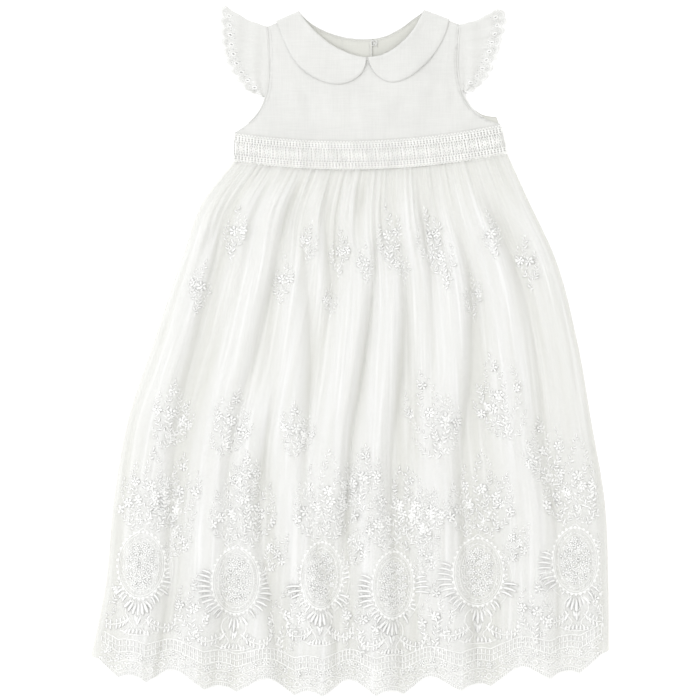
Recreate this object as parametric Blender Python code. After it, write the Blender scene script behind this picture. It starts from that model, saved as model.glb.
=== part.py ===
"""Christening gown, laid flat and seen from its front.

Every size is in millimetres and turns into metres where a mesh is made. X points to the viewer's
right, Y from the hem to the neck and Z up, away from the surface that the gown lies on. The origin
is the middle of the gown's outline, on that surface. Each piece that a maker cuts and sews is one
closed solid: a middle surface with a Solidify modifier that gives the cloth its thickness.
"""

import math

import bpy
import numpy as np
from mathutils.geometry import delaunay_2d_cdt

MM = 0.001

# Cloth thickness
NET_WALL = 1.0
LINING_WALL = 1.0
BODICE_WALL = 1.0
BAND_WALL = 1.2
COLLAR_WALL = 1.2
SLEEVE_WALL = 1.0

# Clearances
SEAM_GAP = 0.4
LAYER_GAP = 0.3

# Heights of the middle surfaces above the surface that the gown lies on
NET_BACK_Z = NET_WALL / 2
LINING_BACK_Z = NET_WALL + LAYER_GAP + LINING_WALL / 2
BAND_BACK_Z = BAND_WALL / 2
COLLAR_BACK_Z = COLLAR_WALL / 2
BODICE_BACK_Z = BAND_WALL + LAYER_GAP + BODICE_WALL / 2
BODICE_FRONT_Z = BODICE_BACK_Z + BODICE_WALL + LAYER_GAP
BODICE_LOFT = 3.0
ON_BODICE = BODICE_WALL / 2 + LAYER_GAP + BAND_WALL / 2

# Skirt: the edges of the front panel at stations from the waist seam to the hem
SKIRT_SECTIONS = (
    # station, left x, left y, right x, right y, sag of the line between them
    (0.00, -110.0, 180.0, 149.0, 187.5, 11.0),
    (0.08, -139.0, 142.5, 169.0, 143.5, 13.0),
    (0.19, -159.0, 89.0, 194.0, 90.0, 16.0),
    (0.36, -186.0, 9.5, 215.5, 10.5, 19.0),
    (0.53, -212.0, -70.0, 229.5, -69.0, 21.0),
    (0.70, -225.5, -150.0, 242.5, -148.0, 23.0),
    (0.85, -232.0, -220.0, 245.5, -217.0, 24.0),
    (1.00, -246.0, -291.0, 246.0, -286.0, 25.0),
)
SKIRT_LENGTH = 480.0

# The hem lace repeats: where each repeat begins and ends across the front, from -1 to 1
REPEAT_EDGES = (-1.0, -0.68, -0.32, 0.0, 0.31, 0.66, 1.0)
REPEATS = len(REPEAT_EDGES) - 1
HEM_SCALLOP = (
    # share of the repeat, drop below the notch
    (0.00, 0.0),
    (0.08, 1.5),
    (0.17, 7.0),
    (0.33, 16.0),
    (0.42, 12.0),
    (0.50, 11.0),
    (0.58, 12.0),
    (0.67, 16.0),
    (0.83, 7.0),
    (0.92, 1.5),
    (1.00, 0.0),
)
SCALLOP_START = 0.90

# Gathers at the waist seam
GATHERS_PER_REPEAT = 6
GATHER_HEIGHT = 2.4
GATHER_SHORTEST = 0.10
GATHER_SPREAD = 0.24
GOLDEN_SHARE = 0.618

# Folds of the skirt's front: ridges that run from the waist towards the hem, steeper on one side
FOLDS = (
    # crest across at the waist, a third down, two thirds down, hem; left width, right width,
    # starts, full, fades, gone, height
    (-0.93, -0.88, -0.84, -0.81, 0.120, 0.070, 0.00, 0.20, 2.00, 2.10, 8.0),
    (-0.73, -0.68, -0.66, -0.65, 0.080, 0.060, 0.00, 0.08, 0.22, 0.40, 6.0),
    (-0.54, -0.59, -0.60, -0.60, 0.120, 0.075, 0.00, 0.08, 2.00, 2.10, 10.0),
    (-0.40, -0.41, -0.47, -0.34, 0.110, 0.065, 0.36, 0.50, 2.00, 2.10, 9.0),
    (-0.46, -0.34, -0.25, -0.12, 0.120, 0.075, 0.08, 0.28, 2.00, 2.10, 9.5),
    (-0.34, -0.22, -0.18, -0.15, 0.075, 0.060, 0.00, 0.07, 0.22, 0.38, 5.0),
    (-0.13, -0.05, 0.00, 0.00, 0.060, 0.055, 0.00, 0.05, 0.12, 0.24, 4.5),
    (0.05, -0.06, -0.11, -0.15, 0.150, 0.060, 0.03, 0.26, 0.62, 0.80, 11.0),
    (0.15, 0.11, 0.06, 0.12, 0.110, 0.075, 0.06, 0.28, 2.00, 2.10, 11.0),
    (0.28, 0.29, 0.36, 0.39, 0.090, 0.060, 0.00, 0.10, 0.34, 0.52, 7.5),
    (0.50, 0.44, 0.35, 0.42, 0.150, 0.070, 0.00, 0.24, 2.00, 2.10, 11.5),
    (0.66, 0.71, 0.70, 0.74, 0.160, 0.090, 0.00, 0.14, 2.00, 2.10, 9.0),
    (0.92, 0.95, 0.93, 0.90, 0.130, 0.100, 0.00, 0.14, 2.00, 2.10, 5.0),
)
CREST_STATIONS = (0.0, 1 / 3, 2 / 3, 1.0)
FOLD_BLEND = 0.9
NET_VALLEY_Z = 6.2
NET_HEM_DROP = 1.6
NET_EDGE_Z = NET_WALL + LAYER_GAP + NET_WALL / 2
EDGE_ROLL = 16.0
FINE_STATIONS = (0.0, 0.03, 0.07, 0.12, 0.18, 0.25)
COARSE_STATIONS = (0.33, 0.42, 0.51, 0.60, 0.69, 0.78, 0.85, 0.90, 0.935, 0.97, 1.0)
FINE_COLUMNS = 4 * GATHERS_PER_REPEAT
COARSE_COLUMNS = FINE_COLUMNS // 2

# Lining of the skirt, inside the net
LINING_INSET = 6.0
LINING_HEM = 0.955
LINING_DROP = NET_WALL / 2 + LINING_WALL / 2 + 2.0
LINING_FOLD_SHARE = 0.55
LINING_LOWEST_Z = LINING_BACK_Z + LINING_WALL + LAYER_GAP
LINING_COLUMNS = 10
LINING_STATIONS = (0.0, 0.08, 0.18, 0.29, 0.40, 0.52, 0.64, 0.76, 0.87, LINING_HEM)

# Waistband of crochet lace: its upper edge, at the sides
BAND_TOP_LEFT = (-109.5, 206.5)
BAND_TOP_RIGHT = (143.0, 214.5)
BAND_TOP_SAG = 11.5
BAND_COLUMNS = 36
BAND_ROWS = 3
BAND_OVERHANG = BAND_WALL / 2 + LAYER_GAP

# Bodice: points that its curved edges run through
NECK_FRONT = ((-47.5, 320.5), (-36.5, 305.5), (-23.8, 294.5), (-9.5, 285.5), (4.8, 279.8),
              (16.1, 278.0), (28.5, 279.8), (42.8, 287.0), (55.1, 298.0), (63.2, 309.0), (69.3, 321.5))
NECK_BACK = ((-47.5, 320.5), (-39.0, 312.5), (-28.5, 305.9), (-9.5, 298.8), (11.4, 295.9),
             (33.2, 298.8), (47.5, 305.9), (59.8, 315.0), (69.3, 321.5))
SHOULDER_LEFT = (-78.8, 307.2)
SHOULDER_RIGHT = (104.5, 309.1)
ARMHOLE_LEFT = (SHOULDER_LEFT, (-77.4, 290.0), (-77.0, 262.0), (-79.5, 243.0), (-85.5, 228.5),
                (-95.0, 217.0), BAND_TOP_LEFT)
ARMHOLE_RIGHT = (SHOULDER_RIGHT, (102.9, 290.0), (103.0, 262.0), (106.5, 246.0), (114.0, 232.0),
                 (126.5, 221.0), BAND_TOP_RIGHT)
UNDERARM_PEAK = ((106.5, 246.0), (114.0, 232.6), (127.0, 223.5), (139.5, 221.5))
BODICE_MIDDLE = 16.0
BODICE_HALF_WIDTHS = (
    # y, half width
    (170.0, 130.0),
    (205.0, 126.0),
    (222.0, 104.0),
    (245.0, 94.0),
    (325.0, 92.0),
)
SHOULDER_Y = 322.0
SHOULDER_FALL = 55.0
BODICE_SPACING = 12.0
EDGE_STEP = 8.0

# Back opening: the left back laps over the right one, and buttons close it
LAP_EDGE = 21.0
LAP_WIDTH = 14.0
LAP_RAMP = 9.0
LAP_RISE = BODICE_WALL + LAYER_GAP
BUTTON_YS = (254.0, 234.0, 214.0)
BUTTON_RADIUS = 5.0
BUTTON_HEIGHT = 1.2
BUTTON_BEVEL = 0.35

# Collar: each half as rulings from the neck edge to the outer edge, from the front round to the back
COLLAR_FRONT_LEFT = (
    # neck x, neck y, outer x, outer y
    (15.4, 277.9, 15.2, 274.0),
    (10.5, 278.4, 11.8, 264.5),
    (2.0, 280.6, 3.6, 256.8),
    (-9.5, 285.5, -8.0, 252.6),
    (-20.0, 291.8, -21.5, 253.5),
    (-29.5, 299.5, -36.0, 259.8),
    (-37.0, 306.8, -48.5, 269.6),
    (-43.0, 313.8, -59.5, 286.0),
    (-47.5, 320.5, -69.5, 310.8),
)
COLLAR_FRONT_RIGHT = (
    (17.2, 277.9, 17.9, 274.0),
    (23.0, 278.6, 22.5, 265.0),
    (31.0, 280.6, 31.0, 257.2),
    (42.8, 287.0, 42.5, 254.4),
    (50.5, 293.6, 54.0, 258.0),
    (56.5, 300.0, 70.5, 270.8),
    (61.5, 306.6, 83.5, 286.6),
    (65.6, 313.8, 91.5, 302.5),
    (69.3, 321.5, 94.0, 312.3),
)
COLLAR_BACK_LEFT = (
    (-47.5, 320.5, -69.5, 310.8),
    (-39.0, 312.5, -62.0, 294.0),
    (-28.5, 305.9, -47.0, 279.0),
    (-9.5, 298.8, -22.0, 269.5),
    (4.0, 296.6, 0.0, 266.5),
    (13.0, 296.0, 11.0, 271.0),
    (16.6, 296.2, 16.0, 288.0),
)
COLLAR_BACK_RIGHT = (
    (69.3, 321.5, 94.0, 312.3),
    (59.8, 315.0, 85.0, 295.0),
    (47.5, 305.9, 70.0, 280.0),
    (33.2, 298.8, 45.0, 270.0),
    (26.0, 297.2, 30.0, 267.0),
    (21.0, 296.4, 22.5, 271.0),
    (18.2, 296.2, 18.6, 288.0),
)
COLLAR_ROWS = 4
COLLAR_LIFT = 1.1

# Flutter sleeves: gathered half moons with a scalloped edge, folded along the top
SLEEVE_LEFT_STARTS = 240.5
SLEEVE_LEFT_EDGE = ((-85.0, 241.5), (-95.0, 246.5), (-104.5, 256.0), (-112.3, 267.9), (-116.8, 280.2),
                    (-119.2, 293.6), (-120.0, 307.8), (-120.6, 318.0), (-120.4, 326.6))
SLEEVE_RIGHT_STARTS = 247.0
SLEEVE_RIGHT_EDGE = ((110.8, 244.5), (121.0, 252.0), (129.6, 261.5), (135.4, 273.0), (139.2, 285.0),
                     (142.0, 296.4), (145.0, 306.8), (146.2, 316.3), (141.5, 323.8))
SLEEVE_SCALLOPS = 10
SLEEVE_SCALLOP_DEPTH = 3.0
SLEEVE_COLUMNS = 3 * SLEEVE_SCALLOPS
SLEEVE_ROWS = 4
SLEEVE_WAVES = 5
SLEEVE_WAVE_HEIGHT = 1.3
SLEEVE_TOP_DIP = 3.0
SLEEVE_SEAM_FRONT_Z = 3.8
SLEEVE_EDGE_FRONT_Z = 5.2
SLEEVE_SEAM_BACK_Z = 2.2
FOLD_ANGLES = (45.0, 90.0, 135.0)

# Colours, as the cloth looks in even light
COTTON = (0.90, 0.90, 0.88)
NET = (0.88, 0.88, 0.86)
LINING = (0.86, 0.86, 0.84)
LACE = (0.93, 0.93, 0.90)
EYELET = (0.91, 0.91, 0.89)
PEARL = (0.92, 0.90, 0.86)


def clear_scene():
    for old in list(bpy.data.objects):
        bpy.data.objects.remove(old)


def ease(value, low, high):
    """0 at low, 1 at high, and a smooth rise between them."""
    t = np.clip((value - low) / (high - low), 0.0, 1.0)
    return t * t * (3 - 2 * t)


def between_rows(table, where):
    """A row of a table read at where on a smooth curve. The first column says where each row stands."""
    rows = np.array(table, float)
    at = rows[:, 0]
    slopes = np.gradient(rows, at, axis=0)
    i = int(np.clip(np.searchsorted(at, where) - 1, 0, len(at) - 2))
    span = at[i + 1] - at[i]
    t = (where - at[i]) / span
    return (
        rows[i] * (2 * t**3 - 3 * t**2 + 1)
        + rows[i + 1] * (3 * t**2 - 2 * t**3)
        + slopes[i] * span * (t**3 - 2 * t**2 + t)
        + slopes[i + 1] * span * (t**3 - t**2)
    )[1:]


def smooth_line(points, count):
    """count + 1 places on a smooth line through the points, evenly spaced along it."""
    corners = np.array(points, float)
    chords = np.linalg.norm(np.diff(corners, axis=0), axis=1)
    table = np.column_stack([np.concatenate([[0.0], np.cumsum(chords)]), corners])
    fine = np.array([between_rows(table, s) for s in np.linspace(0.0, table[-1, 0], 12 * count + 1)])
    run = np.concatenate([[0.0], np.cumsum(np.linalg.norm(np.diff(fine, axis=0), axis=1))])
    wanted = np.linspace(0.0, run[-1], count + 1)
    return np.column_stack([np.interp(wanted, run, fine[:, k]) for k in range(fine.shape[1])])


def stepped(points, step=EDGE_STEP):
    """A smooth line through the points with a place about every step."""
    length = np.linalg.norm(np.diff(np.array(points, float), axis=0), axis=1).sum()
    return smooth_line(points, max(1, round(length / step)))


def material(name, colour, roughness):
    made = bpy.data.materials.new(name)
    made.use_nodes = True
    shader = made.node_tree.nodes["Principled BSDF"]
    shader.inputs["Base Color"].default_value = (*colour, 1.0)
    shader.inputs["Roughness"].default_value = roughness
    shader.inputs["Metallic"].default_value = 0.0
    made.diffuse_color = (*colour, 1.0)
    return made


def cloth(name, points, faces, wall, finish, side=0.0):
    """A piece of cloth: a middle surface in millimetres, thickened evenly, or towards +Z where side is 1."""
    mesh = bpy.data.meshes.new(name)
    mesh.from_pydata([tuple(float(c) * MM for c in p) for p in points], [], faces)
    mesh.validate()
    made = bpy.data.objects.new(name, mesh)
    bpy.context.scene.collection.objects.link(made)
    mesh.materials.append(finish)
    thick = made.modifiers.new("Thickness", "SOLIDIFY")
    thick.thickness = wall * MM
    thick.offset = side
    mesh.shade_smooth()
    mesh.set_sharp_from_angle(angle=math.radians(50))
    return made


def grid_faces(rows):
    """Faces between neighbouring rows of point numbers, where a row may have half the columns of the one before."""
    faces = []
    for upper, lower in zip(rows, rows[1:]):
        if len(upper) == len(lower):
            for k in range(len(upper) - 1):
                faces.append((upper[k], lower[k], lower[k + 1], upper[k + 1]))
            continue
        for k in range(len(lower) - 1):
            left, middle, right = upper[2 * k : 2 * k + 3]
            faces.append((left, lower[k], middle))
            faces.append((middle, lower[k], lower[k + 1]))
            faces.append((middle, lower[k + 1], right))
    return faces


def grid_cloth(name, rows, wall, finish, side=0.0):
    """Cloth from rows of points that run left to right, the rows running down the piece."""
    points, numbers = [], []
    for row in rows:
        numbers.append(list(range(len(points), len(points) + len(row))))
        points.extend(row)
    return cloth(name, points, grid_faces(numbers), wall, finish, side)


def panel_cloth(name, outline, height, wall, finish, side=0.0, spacing=BODICE_SPACING):
    """Cloth cut to an outline that runs anticlockwise, with height(x, y) as its middle surface."""
    edge = [tuple(p) for p in outline]
    low, high = np.min(edge, axis=0), np.max(edge, axis=0)
    inner = []
    for y in np.arange(low[1] + spacing / 2, high[1], spacing):
        for x in np.arange(low[0] + spacing / 2, high[0], spacing):
            if clear_of_edge((x, y), edge, spacing * 0.55):
                inner.append((x, y))
    count = len(edge)
    lines = [(k, (k + 1) % count) for k in range(count)]
    flat, _, faces, *_ = delaunay_2d_cdt(edge + inner, lines, [list(range(count))], 1, 1e-4)
    points = [(x, y, height(x, y)) for x, y in flat]
    return cloth(name, points, [tuple(f) for f in faces], wall, finish, side)


def clear_of_edge(place, edge, distance):
    """True where a place lies inside an outline and at least distance from it."""
    inside = False
    x, y = place
    for (ax, ay), (bx, by) in zip(edge, edge[1:] + edge[:1]):
        if (ay > y) != (by > y) and x < (bx - ax) * (y - ay) / (by - ay) + ax:
            inside = not inside
        run = (bx - ax) ** 2 + (by - ay) ** 2
        t = min(1.0, max(0.0, ((x - ax) * (bx - ax) + (y - ay) * (by - ay)) / run))
        if math.hypot(x - ax - t * (bx - ax), y - ay - t * (by - ay)) < distance:
            return False
    return inside


def across(repeat):
    """Where a count of hem repeats from the left lies across the skirt, from -1 to 1."""
    return float(np.interp(repeat, range(REPEATS + 1), REPEAT_EDGES))


def skirt_place(u, v):
    """x and y on the skirt, u from -1 at its left edge to 1, v from 0 at the waist to 1 at the hem."""
    left_x, left_y, right_x, right_y, sag = between_rows(SKIRT_SECTIONS, v)
    share = (u + 1) / 2
    return np.array([
        left_x + (right_x - left_x) * share,
        left_y + (right_y - left_y) * share - sag * (1 - u * u),
    ])


def skirt_half_width(v):
    left_x, _, right_x, _, _ = between_rows(SKIRT_SECTIONS, v)
    return (right_x - left_x) / 2


def scallop_drop(repeat, v):
    """How far the lace hem reaches below the line of its notches."""
    drop = np.interp(repeat % 1.0, [row[0] for row in HEM_SCALLOP], [row[1] for row in HEM_SCALLOP])
    return drop * ease(v, SCALLOP_START, 1.0)


def fold_height(u, v):
    """Height of the folds: the highest of the ridges at this place, blended where two meet."""
    total = 0.0
    for *crests, left_width, right_width, starts, full, fades, gone, height in FOLDS:
        crest = between_rows(tuple(zip(CREST_STATIONS, crests)), v)[0]
        offset = (u - crest) / (left_width if u < crest else right_width)
        if abs(offset) < 1:
            strength = ease(v, starts, full) * (1 - ease(v, fades, gone))
            total += math.exp(height * strength * (1 - offset * offset) / FOLD_BLEND) - 1
    return FOLD_BLEND * math.log(1 + total)


def gather_height(repeat, v):
    """Height of the small gathers, each of its own length below the waist seam."""
    phase = repeat * GATHERS_PER_REPEAT
    length = GATHER_SHORTEST + GATHER_SPREAD * ((math.floor(phase) * GOLDEN_SHARE) % 1.0)
    fade = max(0.0, 1 - v / length) ** 1.3
    return GATHER_HEIGHT * fade * (0.5 - 0.5 * math.cos(2 * math.pi * phase))


def skirt_level(u, v, share=1.0):
    """Middle surface of the net without its gathers: a rolled edge, a valley level and a share of the folds."""
    from_edge = (1 - abs(u)) * skirt_half_width(v)
    roll = math.sqrt(1 - (1 - min(1.0, from_edge / EDGE_ROLL)) ** 2)
    valley = NET_VALLEY_Z - NET_HEM_DROP * ease(v, 0.9, 1.0)
    return NET_EDGE_Z + roll * (valley - NET_EDGE_Z + share * fold_height(u, v))


def net_front_row(v, columns):
    row = []
    for k in range(REPEATS * columns + 1):
        repeat = k / columns
        u = across(repeat)
        x, y = skirt_place(u, v)
        row.append((x, y - scallop_drop(repeat, v), skirt_level(u, v) + gather_height(repeat, v)))
    return row


def skirt_net_front(finish):
    fine = [net_front_row(v, FINE_COLUMNS) for v in FINE_STATIONS]
    coarse = [net_front_row(v, COARSE_COLUMNS) for v in COARSE_STATIONS]
    return grid_cloth("skirt_net_front", fine + coarse, NET_WALL, finish)


def skirt_net_back(finish):
    """The back of the net lies flat, with the same scalloped hem."""
    hem = [net_front_row(1.0, COARSE_COLUMNS)[k][:2] for k in range(REPEATS * COARSE_COLUMNS + 1)]
    stations = FINE_STATIONS + COARSE_STATIONS
    right = [skirt_place(1.0, v) for v in stations[-2:0:-1]]
    top = [skirt_place(u, 0.0) for u in np.linspace(1.0, -1.0, 13)]
    left = [skirt_place(-1.0, v) for v in stations[1:-1]]
    return panel_cloth("skirt_net_back", hem + right + top + left, lambda x, y: NET_BACK_Z,
                       NET_WALL, finish, spacing=1000.0)


def lining_u(u, v):
    """A place across the lining, which is cut narrower than the net."""
    return u * (1 - LINING_INSET / skirt_half_width(v))


def skirt_lining_front(finish):
    rows = []
    for v in LINING_STATIONS:
        row = []
        for k in range(REPEATS * LINING_COLUMNS + 1):
            u = lining_u(across(k / LINING_COLUMNS), v)
            x, y = skirt_place(u, v)
            level = skirt_level(u, v, LINING_FOLD_SHARE) - LINING_DROP
            row.append((x, y, max(LINING_LOWEST_Z, level)))
        rows.append(row)
    return grid_cloth("skirt_lining_front", rows, LINING_WALL, finish)


def skirt_lining_back(finish):
    rows = []
    for v in LINING_STATIONS:
        rows.append([(*skirt_place(lining_u(u, v), v), LINING_BACK_Z) for u in np.linspace(-1.0, 1.0, 7)])
    return grid_cloth("skirt_lining_back", rows, LINING_WALL, finish)


def bodice_front_z(x, y):
    """Middle surface of the bodice's front: low at the sides and shoulders, lofted in the middle."""
    half_width = np.interp(y, [row[0] for row in BODICE_HALF_WIDTHS], [row[1] for row in BODICE_HALF_WIDTHS])
    side = min(1.0, abs(x - BODICE_MIDDLE) / half_width)
    fall = ease(SHOULDER_Y - y, 0.0, SHOULDER_FALL)
    return BODICE_FRONT_Z + BODICE_LOFT * fall * (1 - side**4)


def waist_line(count, rise=SEAM_GAP):
    """Places along the waist seam from left to right, just above the skirt's top edge."""
    return [skirt_place(u, 0.0) + (0.0, rise) for u in np.linspace(-1.0, 1.0, count + 1)]


def bodice_front(finish):
    outline = [
        *waist_line(24),
        *stepped(ARMHOLE_RIGHT)[::-1],
        *stepped(NECK_FRONT)[::-1],
        *stepped(ARMHOLE_LEFT)[:-1],
        BAND_TOP_LEFT,
    ]
    return panel_cloth("bodice_front", outline, bodice_front_z, BODICE_WALL, finish)


def cut_at(points, edge_x, keep_left):
    """The part of a line of places on one side of an upright line, with a place on that line."""
    line = np.array(points, float)
    order = np.argsort(line[:, 0])
    crossing = (edge_x, float(np.interp(edge_x, line[order, 0], line[order, 1])))
    kept = [tuple(p) for p in line if (p[0] < edge_x) == keep_left]
    return kept + [crossing] if (line[0, 0] < line[-1, 0]) == keep_left else [crossing] + kept


def bodice_backs(finish):
    """The left back rises over the right one where they lap."""
    right_edge = LAP_EDGE - LAP_WIDTH

    def left_z(x, y):
        return BODICE_BACK_Z + LAP_RISE * ease(x, right_edge - SEAM_GAP - LAP_RAMP, right_edge - SEAM_GAP)

    neck = stepped(NECK_BACK)
    waist = waist_line(24)
    left = [
        *cut_at(waist, LAP_EDGE, True),
        *cut_at(neck[::-1], LAP_EDGE, True),
        *stepped(ARMHOLE_LEFT),
    ]
    arm_right = stepped((SHOULDER_RIGHT, (102.9, 290.0), (103.0, 262.0), *UNDERARM_PEAK))
    right = [
        *cut_at(waist, right_edge, False),
        *arm_right[::-1],
        *cut_at(neck[::-1], right_edge, False),
    ]
    panel_cloth("bodice_back_left", left, left_z, BODICE_WALL, finish, spacing=9.0)
    panel_cloth("bodice_back_right", right, lambda x, y: BODICE_BACK_Z, BODICE_WALL, finish, spacing=40.0)


def band_line(share):
    """Places across the waistband at a share of its depth from the waist seam up, from left to right."""
    lower = np.array(waist_line(BAND_COLUMNS))
    upper = []
    for u in np.linspace(-1.0, 1.0, BAND_COLUMNS + 1):
        place = np.array(BAND_TOP_LEFT) + (np.array(BAND_TOP_RIGHT) - BAND_TOP_LEFT) * (u + 1) / 2
        upper.append(place - (0.0, BAND_TOP_SAG * (1 - u * u)))
    return lower + (np.array(upper) - lower) * share


def waistband_front(finish):
    """The band lies on the bodice and turns down over its side edges."""
    drop_z = BAND_WALL + LAYER_GAP + BAND_WALL / 2
    rows = []
    for share in np.linspace(1.0, 0.0, BAND_ROWS + 1):
        line = band_line(share)
        row = [(x, y, bodice_front_z(x, y) + ON_BODICE) for x, y in line]
        row[0] = (row[0][0] - BAND_OVERHANG, *row[0][1:])
        row[-1] = (row[-1][0] + BAND_OVERHANG, *row[-1][1:])
        rows.append([(*row[0][:2], drop_z), *row, (*row[-1][:2], drop_z)])
    return grid_cloth("waistband_front", rows, BAND_WALL, finish)


def waistband_back(finish):
    rows = []
    for share in (1.0, 0.0):
        line = band_line(share)[::3]
        line[0] -= (BAND_OVERHANG, 0.0)
        line[-1] += (BAND_OVERHANG, 0.0)
        rows.append([(x, y, BAND_BACK_Z) for x, y in line])
    return grid_cloth("waistband_back", rows, BAND_WALL, finish)


def turned_over(front, back, outward):
    """Two edges that face each other, joined by a rounded fold that bulges along outward."""
    front, back = np.array(front), np.array(back)
    middle, radius = (front + back) / 2, np.linalg.norm(front - back, axis=1, keepdims=True) / 2
    up = (front - back) / (2 * radius)
    way = np.array([*outward, 0.0]) / np.linalg.norm(outward)
    folds = []
    for degrees in FOLD_ANGLES:
        angle = math.radians(degrees)
        folds.append(middle + up * radius * math.cos(angle) + way * radius * math.sin(angle))
    return folds


def collar_half(name, front_rulings, back_rulings, finish):
    """One half of the round collar: on the bodice's front, over the shoulder and under its back."""
    front = smooth_line(front_rulings, 2 * (len(front_rulings) - 1))
    back = smooth_line(back_rulings, len(back_rulings) - 1)
    shares = np.linspace(0.0, 1.0, COLLAR_ROWS + 1)
    front_columns, back_columns = [], []
    for ruling in front:
        neck, outer = ruling[:2], ruling[2:]
        places = [neck + (outer - neck) * t for t in shares]
        lift = COLLAR_LIFT * ease(SHOULDER_Y - neck[1], 0.0, 20.0)
        front_columns.append(
            [(x, y, bodice_front_z(x, y) + ON_BODICE + lift * t * t) for (x, y), t in zip(places, shares)])
    for ruling in back:
        neck, outer = ruling[:2], ruling[2:]
        back_columns.append([(*(neck + (outer - neck) * t), COLLAR_BACK_Z) for t in shares])
    shoulder = front[-1][:2] - front[-1][2:]
    outward = np.array([-shoulder[1], shoulder[0]])
    outward *= math.copysign(1.0, outward[1])
    columns = front_columns + turned_over(front_columns[-1], back_columns[0], outward) + back_columns
    rows = [[column[k] for column in columns] for k in range(COLLAR_ROWS + 1)]
    return grid_cloth(name, rows, COLLAR_WALL, finish)


def armhole_seam(armhole, starts):
    """Places just outside an armhole, from a height above the waist up to its shoulder."""
    line = stepped(armhole, 2.0)[::-1]
    out = math.copysign(SEAM_GAP, armhole[0][0] - BODICE_MIDDLE)
    ys = np.linspace(starts, armhole[0][1] - SEAM_GAP, SLEEVE_COLUMNS + 1)
    return np.column_stack([np.interp(ys, line[:, 1], line[:, 0]) + out, ys])


def sleeve(name, armhole, starts, edge_points, finish):
    """A flutter sleeve: a waved front layer, a fold along its top edge, and a flat back layer."""
    seam = armhole_seam(armhole, starts)
    edge = smooth_line(edge_points, SLEEVE_COLUMNS)
    shares = np.linspace(0.0, 1.0, SLEEVE_ROWS + 1)
    top = edge[-1] - seam[-1]
    upward = np.array([-top[1], top[0]]) / np.linalg.norm(top)
    upward *= math.copysign(1.0, upward[1])
    front, back = [], []
    for k in range(SLEEVE_COLUMNS + 1):
        along = k / SLEEVE_COLUMNS
        ruling = edge[k] - seam[k]
        bump = SLEEVE_SCALLOP_DEPTH * abs(math.sin(math.pi * SLEEVE_SCALLOPS * along)) ** 0.7
        reach = 1 + bump / max(np.linalg.norm(ruling), 12.0)
        wave = SLEEVE_WAVE_HEIGHT * math.cos(2 * math.pi * SLEEVE_WAVES * along) * ease(1 - along, 0.0, 0.1)
        front_column, back_column = [], []
        for t in shares:
            dip = SLEEVE_TOP_DIP * along**3 * 4 * t * (1 - t)
            x, y = seam[k] + ruling * t * (1 + (reach - 1) * t) - upward * dip
            front_z = SLEEVE_SEAM_FRONT_Z + (SLEEVE_EDGE_FRONT_Z - SLEEVE_SEAM_FRONT_Z) * t + wave * t
            back_z = SLEEVE_SEAM_BACK_Z - (SLEEVE_SEAM_BACK_Z - SLEEVE_WALL / 2) * ease(t, 0.0, 0.4)
            front_column.append((x, y, front_z))
            back_column.append((x, y, back_z))
        front.append(front_column)
        back.append(back_column)
    columns = front + turned_over(front[-1], back[-1], upward) + back[::-1]
    rows = [[column[k] for column in columns] for k in range(SLEEVE_ROWS + 1)]
    return grid_cloth(name, rows, SLEEVE_WALL, finish)


def button(number, y, finish):
    bpy.ops.mesh.primitive_cylinder_add(
        vertices=20, radius=BUTTON_RADIUS * MM, depth=BUTTON_HEIGHT * MM,
        location=((LAP_EDGE - LAP_WIDTH / 2) * MM, y * MM, BUTTON_HEIGHT / 2 * MM))
    made = bpy.context.object
    made.name = f"button_{number}"
    made.data.materials.append(finish)
    edge = made.modifiers.new("Edge", "BEVEL")
    edge.width = BUTTON_BEVEL * MM
    edge.segments = 2
    return made


def main():
    clear_scene()
    cotton = material("bodice_cotton", COTTON, 0.85)
    net = material("skirt_net", NET, 0.8)
    lining = material("skirt_lining", LINING, 0.8)
    lace = material("crochet_lace", LACE, 0.85)
    eyelet = material("eyelet_cotton", EYELET, 0.85)
    pearl = material("pearl", PEARL, 0.25)
    skirt_net_front(net)
    skirt_net_back(net)
    skirt_lining_front(lining)
    skirt_lining_back(lining)
    bodice_front(cotton)
    bodice_backs(cotton)
    waistband_front(lace)
    waistband_back(lace)
    collar_half("collar_left", COLLAR_FRONT_LEFT, COLLAR_BACK_LEFT, cotton)
    collar_half("collar_right", COLLAR_FRONT_RIGHT, COLLAR_BACK_RIGHT, cotton)
    sleeve("sleeve_left", ARMHOLE_LEFT, SLEEVE_LEFT_STARTS, SLEEVE_LEFT_EDGE, eyelet)
    sleeve("sleeve_right", ARMHOLE_RIGHT, SLEEVE_RIGHT_STARTS, SLEEVE_RIGHT_EDGE, eyelet)
    for number, y in enumerate(BUTTON_YS, start=1):
        button(number, y, pearl)


main()
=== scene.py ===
"""Dresses the christening gown: cloth, net, embroidery, crochet lace, seams, light and camera.

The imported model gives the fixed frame. Sizes in the tables are millimetres in its axes: X to the
viewer's right, Y from the hem to the neck, Z up from the surface that the gown lies on.
"""

import math

import bpy
import numpy as np
from bpy.props import FloatProperty, FloatVectorProperty, IntProperty, PointerProperty
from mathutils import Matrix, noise
from mathutils.geometry import delaunay_2d_cdt


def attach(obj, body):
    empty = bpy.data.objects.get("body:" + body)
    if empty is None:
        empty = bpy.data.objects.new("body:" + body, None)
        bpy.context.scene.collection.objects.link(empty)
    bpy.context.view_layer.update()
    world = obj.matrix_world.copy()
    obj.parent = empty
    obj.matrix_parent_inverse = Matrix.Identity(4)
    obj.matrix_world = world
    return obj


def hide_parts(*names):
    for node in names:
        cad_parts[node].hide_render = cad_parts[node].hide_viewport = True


bl_info = {
    "name": "Christening gown",
    "version": (1, 0, 0),
    "blender": (4, 5, 0),
    "location": "View3D > Sidebar > Gown",
    "description": "Makes the cloth, lace, embroidery, seams and light of a christening gown laid flat",
    "category": "Object",
}

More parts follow.
